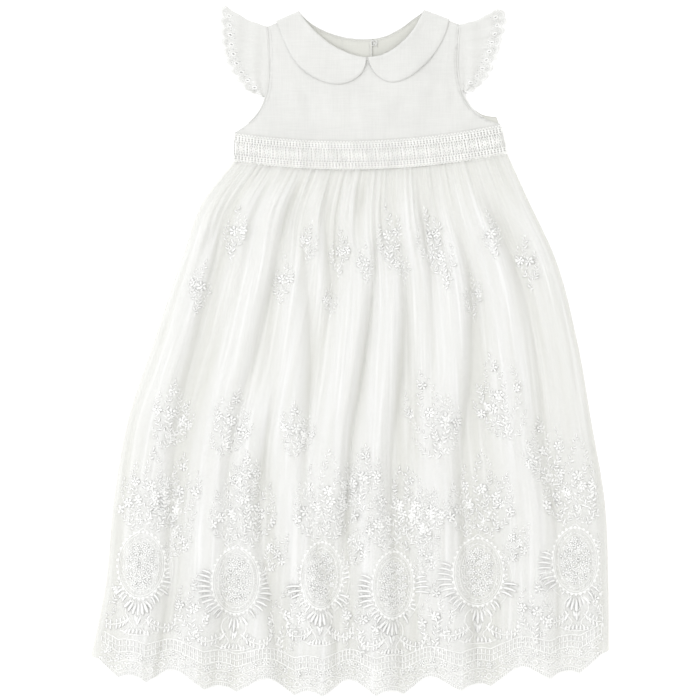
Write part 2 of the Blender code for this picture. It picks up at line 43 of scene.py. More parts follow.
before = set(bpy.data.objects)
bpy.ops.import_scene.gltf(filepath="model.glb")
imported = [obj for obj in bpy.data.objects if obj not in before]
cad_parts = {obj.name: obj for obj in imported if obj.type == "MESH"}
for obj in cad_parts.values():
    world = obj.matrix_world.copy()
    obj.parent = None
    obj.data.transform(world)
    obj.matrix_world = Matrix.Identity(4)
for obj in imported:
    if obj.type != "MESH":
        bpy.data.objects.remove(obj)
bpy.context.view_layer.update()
MM = 0.001

# Heights of the middle surfaces, as in the solids
NET_BACK_Z = 0.5
LINING_BACK_Z = 1.8
BAND_BACK_Z = 0.6
COLLAR_BACK_Z = 0.6
BODICE_BACK_Z = 2.0
BODICE_FRONT_Z = 3.3
BODICE_LOFT = 3.0
ON_BODICE = 1.4
SEAM_GAP = 0.4

# Walls of the cloth
BODICE_WALL = 0.9
COLLAR_WALL = 1.0
SLEEVE_WALL = 0.6
LINING_WALL = 0.4

SKIRT_SECTIONS = (
    # station, left x, left y, right x, right y, sag of the line between them
    (0.00, -110.0, 180.0, 149.0, 187.5, 11.0),
    (0.08, -139.0, 142.5, 169.0, 143.5, 13.0),
    (0.19, -159.0, 89.0, 194.0, 90.0, 16.0),
    (0.36, -186.0, 9.5, 215.5, 10.5, 19.0),
    (0.53, -212.0, -70.0, 229.5, -69.0, 21.0),
    (0.70, -225.5, -150.0, 242.5, -148.0, 23.0),
    (0.85, -232.0, -220.0, 245.5, -217.0, 24.0),
    (1.00, -246.0, -291.0, 246.0, -286.0, 25.0),
)
REPEAT_EDGES = (-1.0, -0.68, -0.32, 0.0, 0.31, 0.66, 1.0)
REPEATS = len(REPEAT_EDGES) - 1
HEM_SCALLOP = (
    # share of the repeat, drop below the notch
    (0.00, 0.0),
    (0.08, 1.5),
    (0.17, 7.0),
    (0.33, 16.0),
    (0.42, 12.0),
    (0.50, 11.0),
    (0.58, 12.0),
    (0.67, 16.0),
    (0.83, 7.0),
    (0.92, 1.5),
    (1.00, 0.0),
)
SCALLOP_START = 0.90
HEM_NIBS = 22
HEM_NIB_HEIGHT = 0.35
SKIRT_TOP_Y = 180
SKIRT_LENGTH = 475
SKIRT_STEP_LENGTH = 478
NET_HALF_CUT = 300.0
NET_CUT_LENGTH = 480.0
GATHERS_PER_REPEAT = 6
GATHER_SHORTEST = 0.10
GATHER_SPREAD = 0.24
GOLDEN_SHARE = 0.618

FOLDS = (
    # crest across at the waist, a third down, two thirds down, hem; left width, right width,
    # starts, full, fades, gone, height
    (-0.93, -0.88, -0.84, -0.81, 0.120, 0.070, 0.00, 0.20, 2.00, 2.10, 8.0),
    (-0.73, -0.68, -0.66, -0.65, 0.080, 0.060, 0.00, 0.08, 0.22, 0.40, 6.0),
    (-0.54, -0.59, -0.60, -0.60, 0.120, 0.075, 0.00, 0.08, 2.00, 2.10, 10.0),
    (-0.40, -0.41, -0.47, -0.34, 0.110, 0.065, 0.36, 0.50, 2.00, 2.10, 9.0),
    (-0.46, -0.34, -0.25, -0.12, 0.120, 0.075, 0.08, 0.28, 2.00, 2.10, 9.5),
    (-0.34, -0.22, -0.18, -0.15, 0.075, 0.060, 0.00, 0.07, 0.22, 0.38, 5.0),
    (-0.13, -0.05, 0.00, 0.00, 0.060, 0.055, 0.00, 0.05, 0.12, 0.24, 4.5),
    (0.05, -0.06, -0.11, -0.15, 0.150, 0.060, 0.03, 0.26, 0.62, 0.80, 11.0),
    (0.15, 0.11, 0.06, 0.12, 0.110, 0.075, 0.06, 0.28, 2.00, 2.10, 11.0),
    (0.28, 0.29, 0.36, 0.39, 0.090, 0.060, 0.00, 0.10, 0.34, 0.52, 7.5),
    (0.50, 0.44, 0.35, 0.42, 0.150, 0.070, 0.00, 0.24, 2.00, 2.10, 11.5),
    (0.66, 0.71, 0.70, 0.74, 0.160, 0.090, 0.00, 0.14, 2.00, 2.10, 9.0),
    (0.92, 0.95, 0.93, 0.90, 0.130, 0.100, 0.00, 0.14, 2.00, 2.10, 5.0),
)
CREST_STATIONS = (0.0, 1 / 3, 2 / 3, 1.0)
FOLD_BLEND = 0.9
NET_VALLEY_Z = 6.2
NET_HEM_DROP = 1.6
NET_EDGE_Z = 1.8
BACK_LACE_Z = 0.95
EDGE_ROLL = 16.0
LINING_INSET = 6.0
LINING_HEM = 0.955
LINING_DROP = 2.4
LINING_LOWEST_Z = 3.1

SKIRT_CREASES = (
    # from x, y, to x, y, half width, height
    (-30, 157, -27, 48, 4.8, 1.6),
    (2, 163, 7, 109, 4.8, 1.4),
    (45, 163, 44, 104, 4.8, 1.3),
    (119, 142, 147, 84, 6.6, 1.8),
    (162, 142, 192, 76, 6.6, 1.6),
    (-95, 152, -109, 86, 5.7, 1.6),
    (-131, 138, -156, 66, 6.6, 1.6),
    (-163, 19, -180, -66, 8.5, 1.6),
    (-81, 19, -90, -48, 7.6, 1.5),
    (65, 5, 70, -52, 6.6, 1.4),
    (78, -62, 83, -119, 7.6, 1.4),
    (142, -43, 150, -114, 10.4, 1.6),
    (200, -66, 205, -162, 8.5, 1.3),
    (-14, 142, -17, 48, 4.8, -1.4),
    (13, 165, 15, 131, 3.8, -1.6),
    (31, 147, 27, 95, 4.8, -1.4),
    (76, 152, 74, 95, 4.8, -1.6),
    (100, 147, 114, 95, 4.8, -1.5),
    (142, 138, 171, 66, 5.7, -1.6),
    (-118, 142, -142, 76, 5.7, -1.5),
    (-175, 32, -179, -2, 4.8, -2.2),
    (-133, 48, -146, -33, 8.5, -1.7),
    (51, 33, 49, -71, 8.5, -1.8),
    (61, -81, 68, -128, 6.6, -1.6),
    (2, -138, -3, -204, 7.6, -1.6),
    (181, -43, 181, -166, 7.6, -1.5),
    (-118, -90, -114, -166, 8.5, -1.6),
    (-204, -157, -188, -228, 7.6, -1.2),
    (214, -180, 221, -256, 8.5, -1.3),
    (-28, -180, -19, -247, 7.6, -1.8),
    (142, -180, 154, -238, 9.5, -1.3),
    (-48, 165, -51, 84, 5.7, -1.8),
)
BODICE_CREASES = (
    # from x, y, to x, y, half width, height
    (-66, 268, -36, 215, 10.0, 1.5),
    (-50, 252, -30, 210, 8.0, -1.3),
    (-22, 248, -8, 206, 9.0, 1.2),
    (4, 250, -2, 208, 7.0, -1.2),
    (24, 248, 36, 204, 9.0, 1.4),
    (50, 252, 46, 210, 7.0, -1.2),
    (78, 268, 62, 212, 10.0, 1.6),
    (94, 262, 100, 222, 6.0, -1.3),
    (-90, 222, -56, 208, 6.0, 1.3),
    (124, 224, 92, 212, 6.0, 1.3),
    (-72, 296, -66, 252, 6.0, 1.0),
    (98, 300, 92, 256, 6.0, 1.0),
    (-14, 232, 46, 222, 5.0, 0.9),
)

BAND_TOP_LEFT = (-109.5, 206.5)
BAND_TOP_RIGHT = (143.0, 214.5)
BAND_TOP_SAG = 11.5
BAND_OVERHANG = 0.9

NECK_FRONT = ((-47.5, 320.5), (-36.5, 305.5), (-23.8, 294.5), (-9.5, 285.5), (4.8, 279.8),
              (16.1, 278.0), (28.5, 279.8), (42.8, 287.0), (55.1, 298.0), (63.2, 309.0), (69.3, 321.5))
NECK_BACK = ((-47.5, 320.5), (-39.0, 312.5), (-28.5, 305.9), (-9.5, 298.8), (11.4, 295.9),
             (33.2, 298.8), (47.5, 305.9), (59.8, 315.0), (69.3, 321.5))
SHOULDER_LEFT = (-78.8, 307.2)
SHOULDER_RIGHT = (104.5, 309.1)
ARMHOLE_LEFT = (SHOULDER_LEFT, (-77.4, 290.0), (-77.0, 262.0), (-79.5, 243.0), (-85.5, 228.5),
                (-95.0, 217.0), BAND_TOP_LEFT)
ARMHOLE_RIGHT = (SHOULDER_RIGHT, (102.9, 290.0), (103.0, 262.0), (106.5, 246.0), (114.0, 232.0),
                 (126.5, 221.0), BAND_TOP_RIGHT)
UNDERARM_PEAK = ((106.5, 246.0), (114.0, 232.6), (127.0, 223.5), (139.5, 221.5))
BODICE_MIDDLE = 16.0
BODICE_SWELL = 2.2
BODICE_CRUMPLE = 0.16
BODICE_HALF_WIDTHS = (
    # y, half width
    (170.0, 130.0),
    (205.0, 126.0),
    (222.0, 104.0),
    (245.0, 94.0),
    (325.0, 92.0),
)
SHOULDER_Y = 322.0
SHOULDER_FALL = 55.0
LAP_EDGE = 21.0
LAP_WIDTH = 14.0
LAP_UNDER_EDGE = LAP_EDGE - LAP_WIDTH
LAP_RAMP = 9.0
LAP_RISE = 1.3
BUTTON_YS = (254.0, 234.0, 214.0)
BUTTON_LOOP = ((4.0, 2.4, 1.0), (7.4, 1.4, 0.8), (8.0, 0.0, 0.8), (7.4, -1.4, 0.8), (4.0, -2.4, 1.0))
NECK_LOOP = ((20.6, 293.4), (23.2, 294.6), (25.8, 293.0), (24.8, 290.4), (21.6, 289.6))
NECK_LOOP_STITCHES = (
    # from x, y, to x, y
    (20.6, 294.8, 26.4, 288.6),
    (20.8, 289.0, 26.2, 294.6),
    (20.4, 291.8, 26.8, 291.6),
)

COLLAR_FRONT_LEFT = (
    # neck x, neck y, outer x, outer y
    (15.4, 277.9, 15.2, 274.0),
    (10.5, 278.4, 11.8, 264.5),
    (2.0, 280.6, 3.6, 256.8),
    (-9.5, 285.5, -8.0, 252.6),
    (-20.0, 291.8, -21.5, 253.5),
    (-29.5, 299.5, -36.0, 259.8),
    (-37.0, 306.8, -48.5, 269.6),
    (-43.0, 313.8, -59.5, 286.0),
    (-47.5, 320.5, -69.5, 310.8),
)
COLLAR_FRONT_RIGHT = (
    (17.2, 277.9, 17.9, 274.0),
    (23.0, 278.6, 22.5, 265.0),
    (31.0, 280.6, 31.0, 257.2),
    (42.8, 287.0, 42.5, 254.4),
    (50.5, 293.6, 54.0, 258.0),
    (56.5, 300.0, 70.5, 270.8),
    (61.5, 306.6, 83.5, 286.6),
    (65.6, 313.8, 91.5, 302.5),
    (69.3, 321.5, 94.0, 312.3),
)
COLLAR_BACK_LEFT = (
    (-47.5, 320.5, -69.5, 310.8),
    (-39.0, 312.5, -62.0, 294.0),
    (-28.5, 305.9, -47.0, 279.0),
    (-9.5, 298.8, -22.0, 269.5),
    (4.0, 296.6, 0.0, 266.5),
    (13.0, 296.0, 11.0, 271.0),
    (16.6, 296.2, 16.0, 288.0),
)
COLLAR_BACK_RIGHT = (
    (69.3, 321.5, 94.0, 312.3),
    (59.8, 315.0, 85.0, 295.0),
    (47.5, 305.9, 70.0, 280.0),
    (33.2, 298.8, 45.0, 270.0),
    (26.0, 297.2, 30.0, 267.0),
    (21.0, 296.4, 22.5, 271.0),
    (18.2, 296.2, 18.6, 288.0),
)
COLLAR_LIFT = 1.1

SLEEVE_LEFT_STARTS = 240.5
SLEEVE_LEFT_EDGE = ((-85.0, 241.5), (-95.0, 246.5), (-104.5, 256.0), (-112.3, 267.9), (-116.8, 280.2),
                    (-119.2, 293.6), (-120.0, 307.8), (-120.6, 318.0), (-120.4, 326.6))
SLEEVE_RIGHT_STARTS = 247.0
SLEEVE_RIGHT_EDGE = ((110.8, 244.5), (121.0, 252.0), (129.6, 261.5), (135.4, 273.0), (139.2, 285.0),
                     (142.0, 296.4), (145.0, 306.8), (146.2, 316.3), (141.5, 323.8))
SLEEVE_SCALLOPS = 10
SLEEVE_SCALLOP_DEPTH = 3.0
SLEEVE_WAVES = 5
SLEEVE_WAVE_HEIGHT = 1.3
SLEEVE_TOP_DIP = 3.0
SLEEVE_SEAM_FRONT_Z = 3.8
SLEEVE_EDGE_FRONT_Z = 5.2
SLEEVE_SEAM_BACK_Z = 2.2
SLEEVE_EDGE_REACH = 2.4
SLEEVE_FLAT_WIDTH = 112.0
SLEEVE_FLAT_DEPTH = 34.0
SLEEVE_END_SHARES = (0.15, 0.3, 0.45, 0.6, 0.75, 0.9)

MEDALLIONS = (
    # x, y, width share, height share
    (-198.0, -204.0, 0.98, 1.00),
    (-108.0, -219.0, 0.98, 1.00),
    (-27.0, -214.0, 0.86, 1.00),
    (41.0, -223.0, 0.86, 1.00),
    (121.5, -211.0, 1.05, 1.02),
    (214.0, -200.0, 0.95, 1.00),
)
MEDALLION_SPRAYS = (
    # right and up from the medallion's middle, height, lean in degrees, mirror
    (1.0, 33.0, 84.0, 0, 1),
    (-9.0, 30.0, 56.0, 14, -1),
    (11.0, 30.0, 66.0, -12, 1),
    (25.0, 6.0, 46.0, -26, 1),
)
BOUQUETS = (
    # x, y of the foot, height, lean in degrees, mirror
    (-176.0, -98.0, 70.0, 2.0, 1),
    (-166.0, -178.0, 80.0, -4.0, -1),
    (-124.0, -104.0, 70.0, -8.0, 1),
    (-96.0, -146.0, 50.0, 4.0, -1),
    (-52.0, -104.0, 54.0, 6.0, 1),
    (12.0, -156.0, 66.0, -4.0, -1),
    (70.0, -192.0, 82.0, 12.0, 1),
    (84.0, -108.0, 90.0, 10.0, 1),
    (156.0, -90.0, 90.0, 8.0, -1),
    (194.0, -134.0, 72.0, 4.0, -1),
)
SPRIGS = (
    # x, y of the foot, height, lean in degrees
    (-112.0, 92.0, 40.0, 20.0),
    (-148.0, 40.0, 34.0, 16.0),
    (-66.0, 48.0, 34.0, 10.0),
    (-42.0, 86.0, 26.0, -10.0),
    (-10.0, 74.0, 32.0, 2.0),
    (15.0, 68.0, 28.0, 6.0),
    (40.0, 84.0, 40.0, -4.0),
    (52.0, 66.0, 26.0, 10.0),
    (78.0, 84.0, 36.0, -12.0),
    (90.0, 62.0, 44.0, -6.0),
    (140.0, 92.0, 34.0, -20.0),
    (172.0, 62.0, 34.0, -22.0),
    (118.0, 34.0, 30.0, -10.0),
    (-20.0, 34.0, 24.0, 8.0),
)
HEM_SPRIGS = (
    # x, y of the foot, height, lean in degrees
    (-232.0, -256.0, 50.0, 6.0),
    (-154.0, -284.0, 72.0, 4.0),
    (-67.0, -292.0, 74.0, -4.0),
    (7.0, -298.0, 78.0, 2.0),
    (83.0, -294.0, 76.0, 4.0),
    (171.0, -288.0, 74.0, -4.0),
    (240.0, -258.0, 46.0, -4.0),
)


class GownCloth(bpy.types.PropertyGroup):
    net_columns: IntProperty(
        name="Net columns", description="Columns of the skirt's net", default=312, min=72, max=360)
    net_rows: IntProperty(
        name="Net rows", description="Rows of the skirt's net", default=210, min=40, max=300)
    net_pitch: FloatProperty(
        name="Net pitch", description="Width of one cell of the net", default=0.00075, unit="LENGTH")
    thread: FloatProperty(
        name="Crochet thread", description="Radius of the crochet thread", default=0.00049, unit="LENGTH")
    satin: FloatProperty(
        name="Satin thread", description="Radius of the embroidered outlines", default=0.00052, unit="LENGTH")
    gather_height: FloatProperty(
        name="Gather height", description="Height of the gathers at the waist", default=0.0017, unit="LENGTH")
    wrinkle: FloatProperty(
        name="Wrinkle", description="Height of the cloth's fine unevenness", default=0.00048, unit="LENGTH")


class GownColours(bpy.types.PropertyGroup):
    cotton: FloatVectorProperty(
        name="Cotton", description="Bodice, collar and sleeves", subtype="COLOR", size=3,
        default=(0.755, 0.755, 0.737))
    lining: FloatVectorProperty(
        name="Lining", description="Lining of the skirt", subtype="COLOR", size=3, default=(0.84, 0.84, 0.82))
    net: FloatVectorProperty(
        name="Net", description="Threads of the skirt's net", subtype="COLOR", size=3,
        default=(0.80, 0.80, 0.775))
    embroidery: FloatVectorProperty(
        name="Embroidery", description="Satin stitches of the net", subtype="COLOR", size=3,
        default=(0.91, 0.91, 0.90))
    crochet: FloatVectorProperty(
        name="Crochet", description="Threads of the waistband", subtype="COLOR", size=3,
        default=(0.94, 0.94, 0.92))
    pearl: FloatVectorProperty(
        name="Pearl", description="Buttons", subtype="COLOR", size=3, default=(0.86, 0.83, 0.78))


class GownStage(bpy.types.PropertyGroup):
    key: FloatProperty(name="Key light", description="Strength of the soft key", default=14.0)
    fill: FloatProperty(name="Fill light", description="Strength of the even surround", default=1.08)
    lens: FloatProperty(name="Lens", description="Focal length in millimetres", default=150.0)
    view_width: FloatProperty(
        name="View width", description="Width that the picture takes in", default=0.665, unit="LENGTH")


def settings():
    scene = bpy.context.scene
    return scene.gown_cloth, scene.gown_colours, scene.gown_stage


# Curves, tables and the gown's surfaces


def ease(value, low, high):
    """0 at low, 1 at high, and a smooth rise between them."""
    t = np.clip((np.asarray(value, float) - low) / (high - low), 0.0, 1.0)
    return t * t * (3 - 2 * t)


def read_table(table, where):
    """A table read at many places on smooth curves. Its first column says where each row stands."""
    rows = np.array(table, float)
    at = rows[:, 0]
    where = np.asarray(where, float)
    slopes = np.gradient(rows, at, axis=0)
    i = np.clip(np.searchsorted(at, where) - 1, 0, len(at) - 2)
    span = (at[i + 1] - at[i])[..., None]
    t = (where - at[i])[..., None] / span
    read = (
        rows[i] * (2 * t**3 - 3 * t**2 + 1)
        + rows[i + 1] * (3 * t**2 - 2 * t**3)
        + slopes[i] * span * (t**3 - 2 * t**2 + t)
        + slopes[i + 1] * span * (t**3 - t**2)
    )
    return np.moveaxis(read[..., 1:], -1, 0)


def smooth_line(points, count):
    """count + 1 places on a smooth line through the points, evenly spaced along it."""
    corners = np.array(points, float)
    chords = np.linalg.norm(np.diff(corners, axis=0), axis=1)
    table = np.column_stack([np.concatenate([[0.0], np.cumsum(chords)]), corners])
    fine = read_table(table, np.linspace(0.0, table[-1, 0], 12 * count + 1)).T
    run = np.concatenate([[0.0], np.cumsum(np.linalg.norm(np.diff(fine, axis=0), axis=1))])
    wanted = np.linspace(0.0, run[-1], count + 1)
    return np.column_stack([np.interp(wanted, run, fine[:, k]) for k in range(fine.shape[1])])


def stepped(points, step):
    """A smooth line through the points with a place about every step."""
    length = np.linalg.norm(np.diff(np.array(points, float), axis=0), axis=1).sum()
    return smooth_line(points, max(1, round(length / step)))


def circle(count):
    """Evenly spaced angles, once round."""
    return np.linspace(0, 2 * math.pi, count, endpoint=False)


def across(repeat):
    """Where a count of hem repeats from the left lies across the skirt, from -1 to 1."""
    return np.interp(repeat, range(REPEATS + 1), REPEAT_EDGES)


def repeats_at(u):
    return np.interp(u, REPEAT_EDGES, range(REPEATS + 1))


def skirt_place(u, v):
    """x and y on the skirt, u from -1 at its left edge to 1, v from 0 at the waist to 1 at the hem."""
    left_x, left_y, right_x, right_y, sag = read_table(SKIRT_SECTIONS, v)
    share = (u + 1) / 2
    return left_x + (right_x - left_x) * share, left_y + (right_y - left_y) * share - sag * (1 - u * u)


def skirt_half_width(v):
    left_x, _, right_x, _, _ = read_table(SKIRT_SECTIONS, v)
    return (right_x - left_x) / 2


def skirt_uv(x, y):
    """The place across and down the skirt that lies at x and y."""
    x, y = np.asarray(x, float), np.asarray(y, float)
    v = np.clip((SKIRT_TOP_Y - y) / SKIRT_LENGTH, 0.0, 1.0)
    for _ in range(9):
        left_x, left_y, right_x, right_y, sag = read_table(SKIRT_SECTIONS, v)
        u = 2 * (x - left_x) / (right_x - left_x) - 1
        here = left_y + (right_y - left_y) * (u + 1) / 2 - sag * (1 - u * u)
        v = np.clip(v + (here - y) / SKIRT_STEP_LENGTH, -0.01, 1.06)
    return u, v


def scallop_drop(repeat):
    """How far the lace hem reaches below the line of its notches."""
    return np.interp(np.asarray(repeat) % 1.0, *zip(*HEM_SCALLOP))


def fold_height(u, v):
    """Height of the folds: the highest of the ridges at this place, blended where two meet."""
    total = np.zeros_like(u)
    for *crests, left_width, right_width, starts, full, fades, gone, height in FOLDS:
        crest = read_table(tuple(zip(CREST_STATIONS, crests)), v)[0]
        offset = (u - crest) / np.where(u < crest, left_width, right_width)
        strength = ease(v, starts, full) * (1 - ease(v, fades, gone))
        profile = np.clip(1 - offset * offset, 0.0, 1.0)
        total += np.exp(height * strength * profile / FOLD_BLEND) - 1
    return FOLD_BLEND * np.log(1 + total)


def gather_height(u, v, height):
    """Height of the small gathers, each of its own width, height and length below the waist seam."""
    phase = repeats_at(u) * GATHERS_PER_REPEAT
    phase = phase + 0.34 * np.sin(phase * 1.3 + 0.5) + 0.10 * np.sin(phase * 3.1 + 1.0)
    number = np.floor(phase)
    length = GATHER_SHORTEST + GATHER_SPREAD * ((number * GOLDEN_SHARE) % 1.0)
    share = 0.25 + 0.75 * ((number * 0.7548 + 0.3) % 1.0)
    fade = np.clip(1 - v / length, 0.0, 1.0) ** 1.2
    return height * share * fade * (0.5 - 0.5 * np.cos(2 * math.pi * phase)) ** 0.8


def pleats(u, v, height):
    """Fine strands and soft uneven ridges in the net, which run down from the waist."""
    across_mm, down_mm = u * NET_HALF_CUT, v * NET_CUT_LENGTH
    strands = unevenness(across_mm, down_mm, 2.9, 80.0, 3.1)
    ridges = 1 - np.abs(unevenness(across_mm, down_mm, 17.0, 190.0, 8.4)) * 2.2
    folds = unevenness(across_mm, down_mm, 9.0, 130.0, 5.2)
    near_waist = 1 - ease(v, 0.0, 0.5)
    return height * (
        strands * (0.45 + 1.5 * near_waist**2)
        + 1.9 * np.clip(ridges, 0.0, 1.0) ** 2
        + folds * (0.9 + 0.5 * near_waist)
    )


def creased(x, y, creases):
    """Height of soft creases that run between two places and fade at both ends."""
    total = np.zeros_like(x)
    for from_x, from_y, to_x, to_y, half_width, height in creases:
        run = np.array([to_x - from_x, to_y - from_y], float)
        length = np.hypot(*run)
        along = ((x - from_x) * run[0] + (y - from_y) * run[1]) / length**2
        aside = ((x - from_x) * run[1] - (y - from_y) * run[0]) / length
        aside = aside + 1.6 * np.sin(along * 5.0 + from_x)
        ends = np.clip(1.15 - np.abs(2 * along - 1), 0.0, 1.0) ** 1.4
        total += height * ends * np.clip(1 - (aside / half_width) ** 2, 0.0, 1.0) ** 2
    return total


def unevenness(x, y, scale_x, scale_y, seed):
    """Smooth unevenness between -1 and 1, with its own scale each way."""
    values = [
        noise.noise((px / scale_x + seed, py / scale_y - seed, seed * 0.37))
        for px, py in zip(x.ravel(), y.ravel())
    ]
    return np.array(values).reshape(x.shape)


def level(z):
    """A flat surface at one height."""
    return lambda x, y: np.full_like(np.asarray(x, float), z)


def skirt_roll(u, v):
    from_edge = (1 - np.abs(u)) * skirt_half_width(v)
    return np.sqrt(np.clip(1 - (1 - np.clip(from_edge / EDGE_ROLL, 0.0, 1.0)) ** 2, 0.0, 1.0))


def place_on_skirt(x, y):
    """The place across and down the skirt at x and y, kept on the cloth."""
    u, v = skirt_uv(x, y)
    return np.clip(u, -1.0, 1.0), np.clip(v, 0.0, 1.0)


def skirt_level(u, v, height=0.0):
    """Height of the net with folds so high above its valleys, down to its edge at the rolled sides."""
    valley = NET_VALLEY_Z - NET_HEM_DROP * ease(v, 0.9, 1.0)
    return NET_EDGE_Z + skirt_roll(u, v) * (valley - NET_EDGE_Z + height)


def net_front_z(x, y):
    """Middle surface of the skirt's net at x and y, with its folds, gathers and creases."""
    cloth, _, _ = settings()
    u, v = place_on_skirt(x, y)
    height = fold_height(u, v) + gather_height(u, v, cloth.gather_height / MM)
    return skirt_level(u, v, height + creased(x, y, SKIRT_CREASES) * ease(v, 0.0, 0.04))


def net_surface(x, y):
    """The net as it is sewn: its form with the fine pleats."""
    cloth, _, _ = settings()
    x, y = np.asarray(x, float), np.asarray(y, float)
    u, v = place_on_skirt(x, y)
    return net_front_z(x, y) + pleats(u, v, cloth.wrinkle / MM) * skirt_roll(u, v)


def lining_front_z(x, y):
    """The front lining, which follows the net's folds a little lower."""
    u, v = place_on_skirt(x, y)
    height = 0.86 * fold_height(u, v) + 0.7 * creased(x, y, SKIRT_CREASES)
    return np.maximum(LINING_LOWEST_Z, skirt_level(u, v, height) - LINING_DROP)


def bodice_fullness(x, y):
    """1 along the bodice's middle line and 0 at its sides."""
    half_width = np.interp(y, *zip(*BODICE_HALF_WIDTHS))
    side = np.clip(np.abs(x - BODICE_MIDDLE) / half_width, 0.0, 1.0)
    return 1 - side**4


def bodice_loft_z(x, y):
    fall = ease(SHOULDER_Y - y, 0.0, SHOULDER_FALL)
    return BODICE_FRONT_Z + BODICE_LOFT * fall * bodice_fullness(x, y)


def bodice_swell(x, y):
    """Broad soft unevenness of the bodice's front, none at its edges."""
    x, y = np.asarray(x, float), np.asarray(y, float)
    ends = ease(y, 198.0, 214.0) * (1 - ease(y, 294.0, 316.0))
    return BODICE_SWELL * unevenness(x, y, 36.0, 58.0, 2.2) * bodice_fullness(x, y) * ends


def bodice_front_z(x, y):
    """The bodice's front, with soft creases that fade out under the collar and the band."""
    return bodice_loft_z(x, y) + bodice_swell(x, y) + creased(x, y, BODICE_CREASES) * ease(y, 200.0, 214.0)


def lap_rise(x):
    """Rise of the left back where it laps over the right one."""
    return LAP_RISE * ease(x, LAP_UNDER_EDGE - SEAM_GAP - LAP_RAMP, LAP_UNDER_EDGE - SEAM_GAP)


def waist_line(count):
    """Places along the seam between the bodice and the skirt."""
    u = np.linspace(-1.0, 1.0, count + 1)
    x, y = skirt_place(u, np.zeros_like(u))
    return np.column_stack([x, y + SEAM_GAP])


def band_place(s, t):
    """A place on the waistband: s from 0 at its left end to 1, t from 0 at the seam to 1 at the top."""
    s, t = np.asarray(s, float), np.asarray(t, float)
    u = 2 * np.clip(s, 0.0, 1.0) - 1
    low_x, low_y = skirt_place(u, np.zeros_like(u))
    (left_x, left_y), (right_x, right_y) = BAND_TOP_LEFT, BAND_TOP_RIGHT
    high_x = left_x + (right_x - left_x) * (u + 1) / 2
    high_y = left_y + (right_y - left_y) * (u + 1) / 2 - BAND_TOP_SAG * (1 - u * u)
    return low_x + (high_x - low_x) * t, low_y + SEAM_GAP + (high_y - low_y - SEAM_GAP) * t


# Meshes


def piece(name, points, faces, finish, smooth=True):
    """A new object at the origin from points in millimetres."""
    mesh = bpy.data.meshes.new(name)
    mesh.from_pydata((np.asarray(points, float) * MM).tolist(), [], [list(map(int, f)) for f in faces])
    mesh.validate()
    mesh.materials.append(finish)
    if smooth:
        mesh.shade_smooth()
    made = bpy.data.objects.new(name, mesh)
    bpy.context.scene.collection.objects.link(made)
    return made


def grid_faces(rows, columns):
    k = np.arange(rows * columns).reshape(rows, columns)
    return np.stack([k[:-1, :-1], k[1:, :-1], k[1:, 1:], k[:-1, 1:]], axis=-1).reshape(-1, 4)


def cloth_map(made, places):
    """A map of the cloth in metres, one place for each point, that the weave follows."""
    mesh = made.data
    layer = mesh.uv_layers.new(name="cloth")
    corners = np.empty(len(mesh.loops), dtype=np.int32)
    mesh.loops.foreach_get("vertex_index", corners)
    layer.data.foreach_set("uv", (np.asarray(places, float)[corners] * MM).astype(np.float32).ravel())


def grid_piece(name, grid, places, finish, flip=False):
    """Cloth from rows of points, with its map."""
    rows, columns = grid.shape[:2]
    faces = grid_faces(rows, columns)
    if flip:
        faces = faces[:, ::-1]
    made = piece(name, grid.reshape(-1, 3), faces, finish)
    cloth_map(made, places.reshape(-1, 2))
    return made


def inside(x, y, outline):
    """Which places lie inside a closed outline."""
    found = np.zeros(np.shape(x), bool)
    edge = np.asarray(outline, float)
    for (ax, ay), (bx, by) in zip(edge, np.roll(edge, -1, axis=0)):
        if ay == by:
            continue
        found ^= ((ay > y) != (by > y)) & (x < (bx - ax) * (y - ay) / (by - ay) + ax)
    return found


def cut_cloth(outline, spacing, holes=()):
    """Flat triangles inside an outline and outside its holes."""
    edges, lines = [], []
    for loop in [outline, *holes]:
        start = len(edges)
        edges.extend([tuple(p) for p in loop])
        lines.extend([(start + k, start + (k + 1) % len(loop)) for k in range(len(loop))])
    edge = np.array(edges)
    low, high = edge.min(axis=0), edge.max(axis=0)
    ys = np.arange(low[1] + spacing / 2, high[1], spacing * 0.87)
    inner = []
    for k, y in enumerate(ys):
        x = np.arange(low[0] + spacing * (0.25 + 0.5 * (k % 2)), high[0], spacing)
        inner.append(np.column_stack([x, np.full_like(x, y)]))
    inner = np.concatenate(inner)
    keep = inside(inner[:, 0], inner[:, 1], outline)
    for hole in holes:
        keep &= ~inside(inner[:, 0], inner[:, 1], hole)
    near = np.array([np.min((edge[:, 0] - x) ** 2 + (edge[:, 1] - y) ** 2) for x, y in inner])
    keep &= near > (spacing * 0.5) ** 2
    flat, _, faces, *_ = delaunay_2d_cdt(edges + [tuple(p) for p in inner[keep]], lines, [], 0, 1e-5)
    flat = np.array([tuple(p) for p in flat])
    faces = np.array([list(f) for f in faces])
    middle = flat[faces].mean(axis=1)
    kept = inside(middle[:, 0], middle[:, 1], outline)
    for hole in holes:
        kept &= ~inside(middle[:, 0], middle[:, 1], hole)
    return flat, faces[kept]


def point_values(mesh, name, values, kind="FLOAT", field="value"):
    """A value for each point, which a material or a node tree reads."""
    attribute = mesh.attributes.new(name, kind, "POINT")
    attribute.data.foreach_set(field, np.asarray(values, np.float32).ravel())


def thicken(made, wall):
    """Give cloth its wall and keep it as plain mesh."""
    thick = made.modifiers.new("Thickness", "SOLIDIFY")
    thick.thickness = wall * MM
    thick.offset = 0.0
    settle(made)


def settle(made):
    """Turn a piece with modifiers into its plain mesh."""
    depsgraph = bpy.context.evaluated_depsgraph_get()
    plain = bpy.data.meshes.new_from_object(made.evaluated_get(depsgraph))
    old = made.data
    made.modifiers.clear()
    made.data = plain
    plain.name = made.name
    bpy.data.meshes.remove(old)


# Node trees that grow threads along paths and set small stitched parts


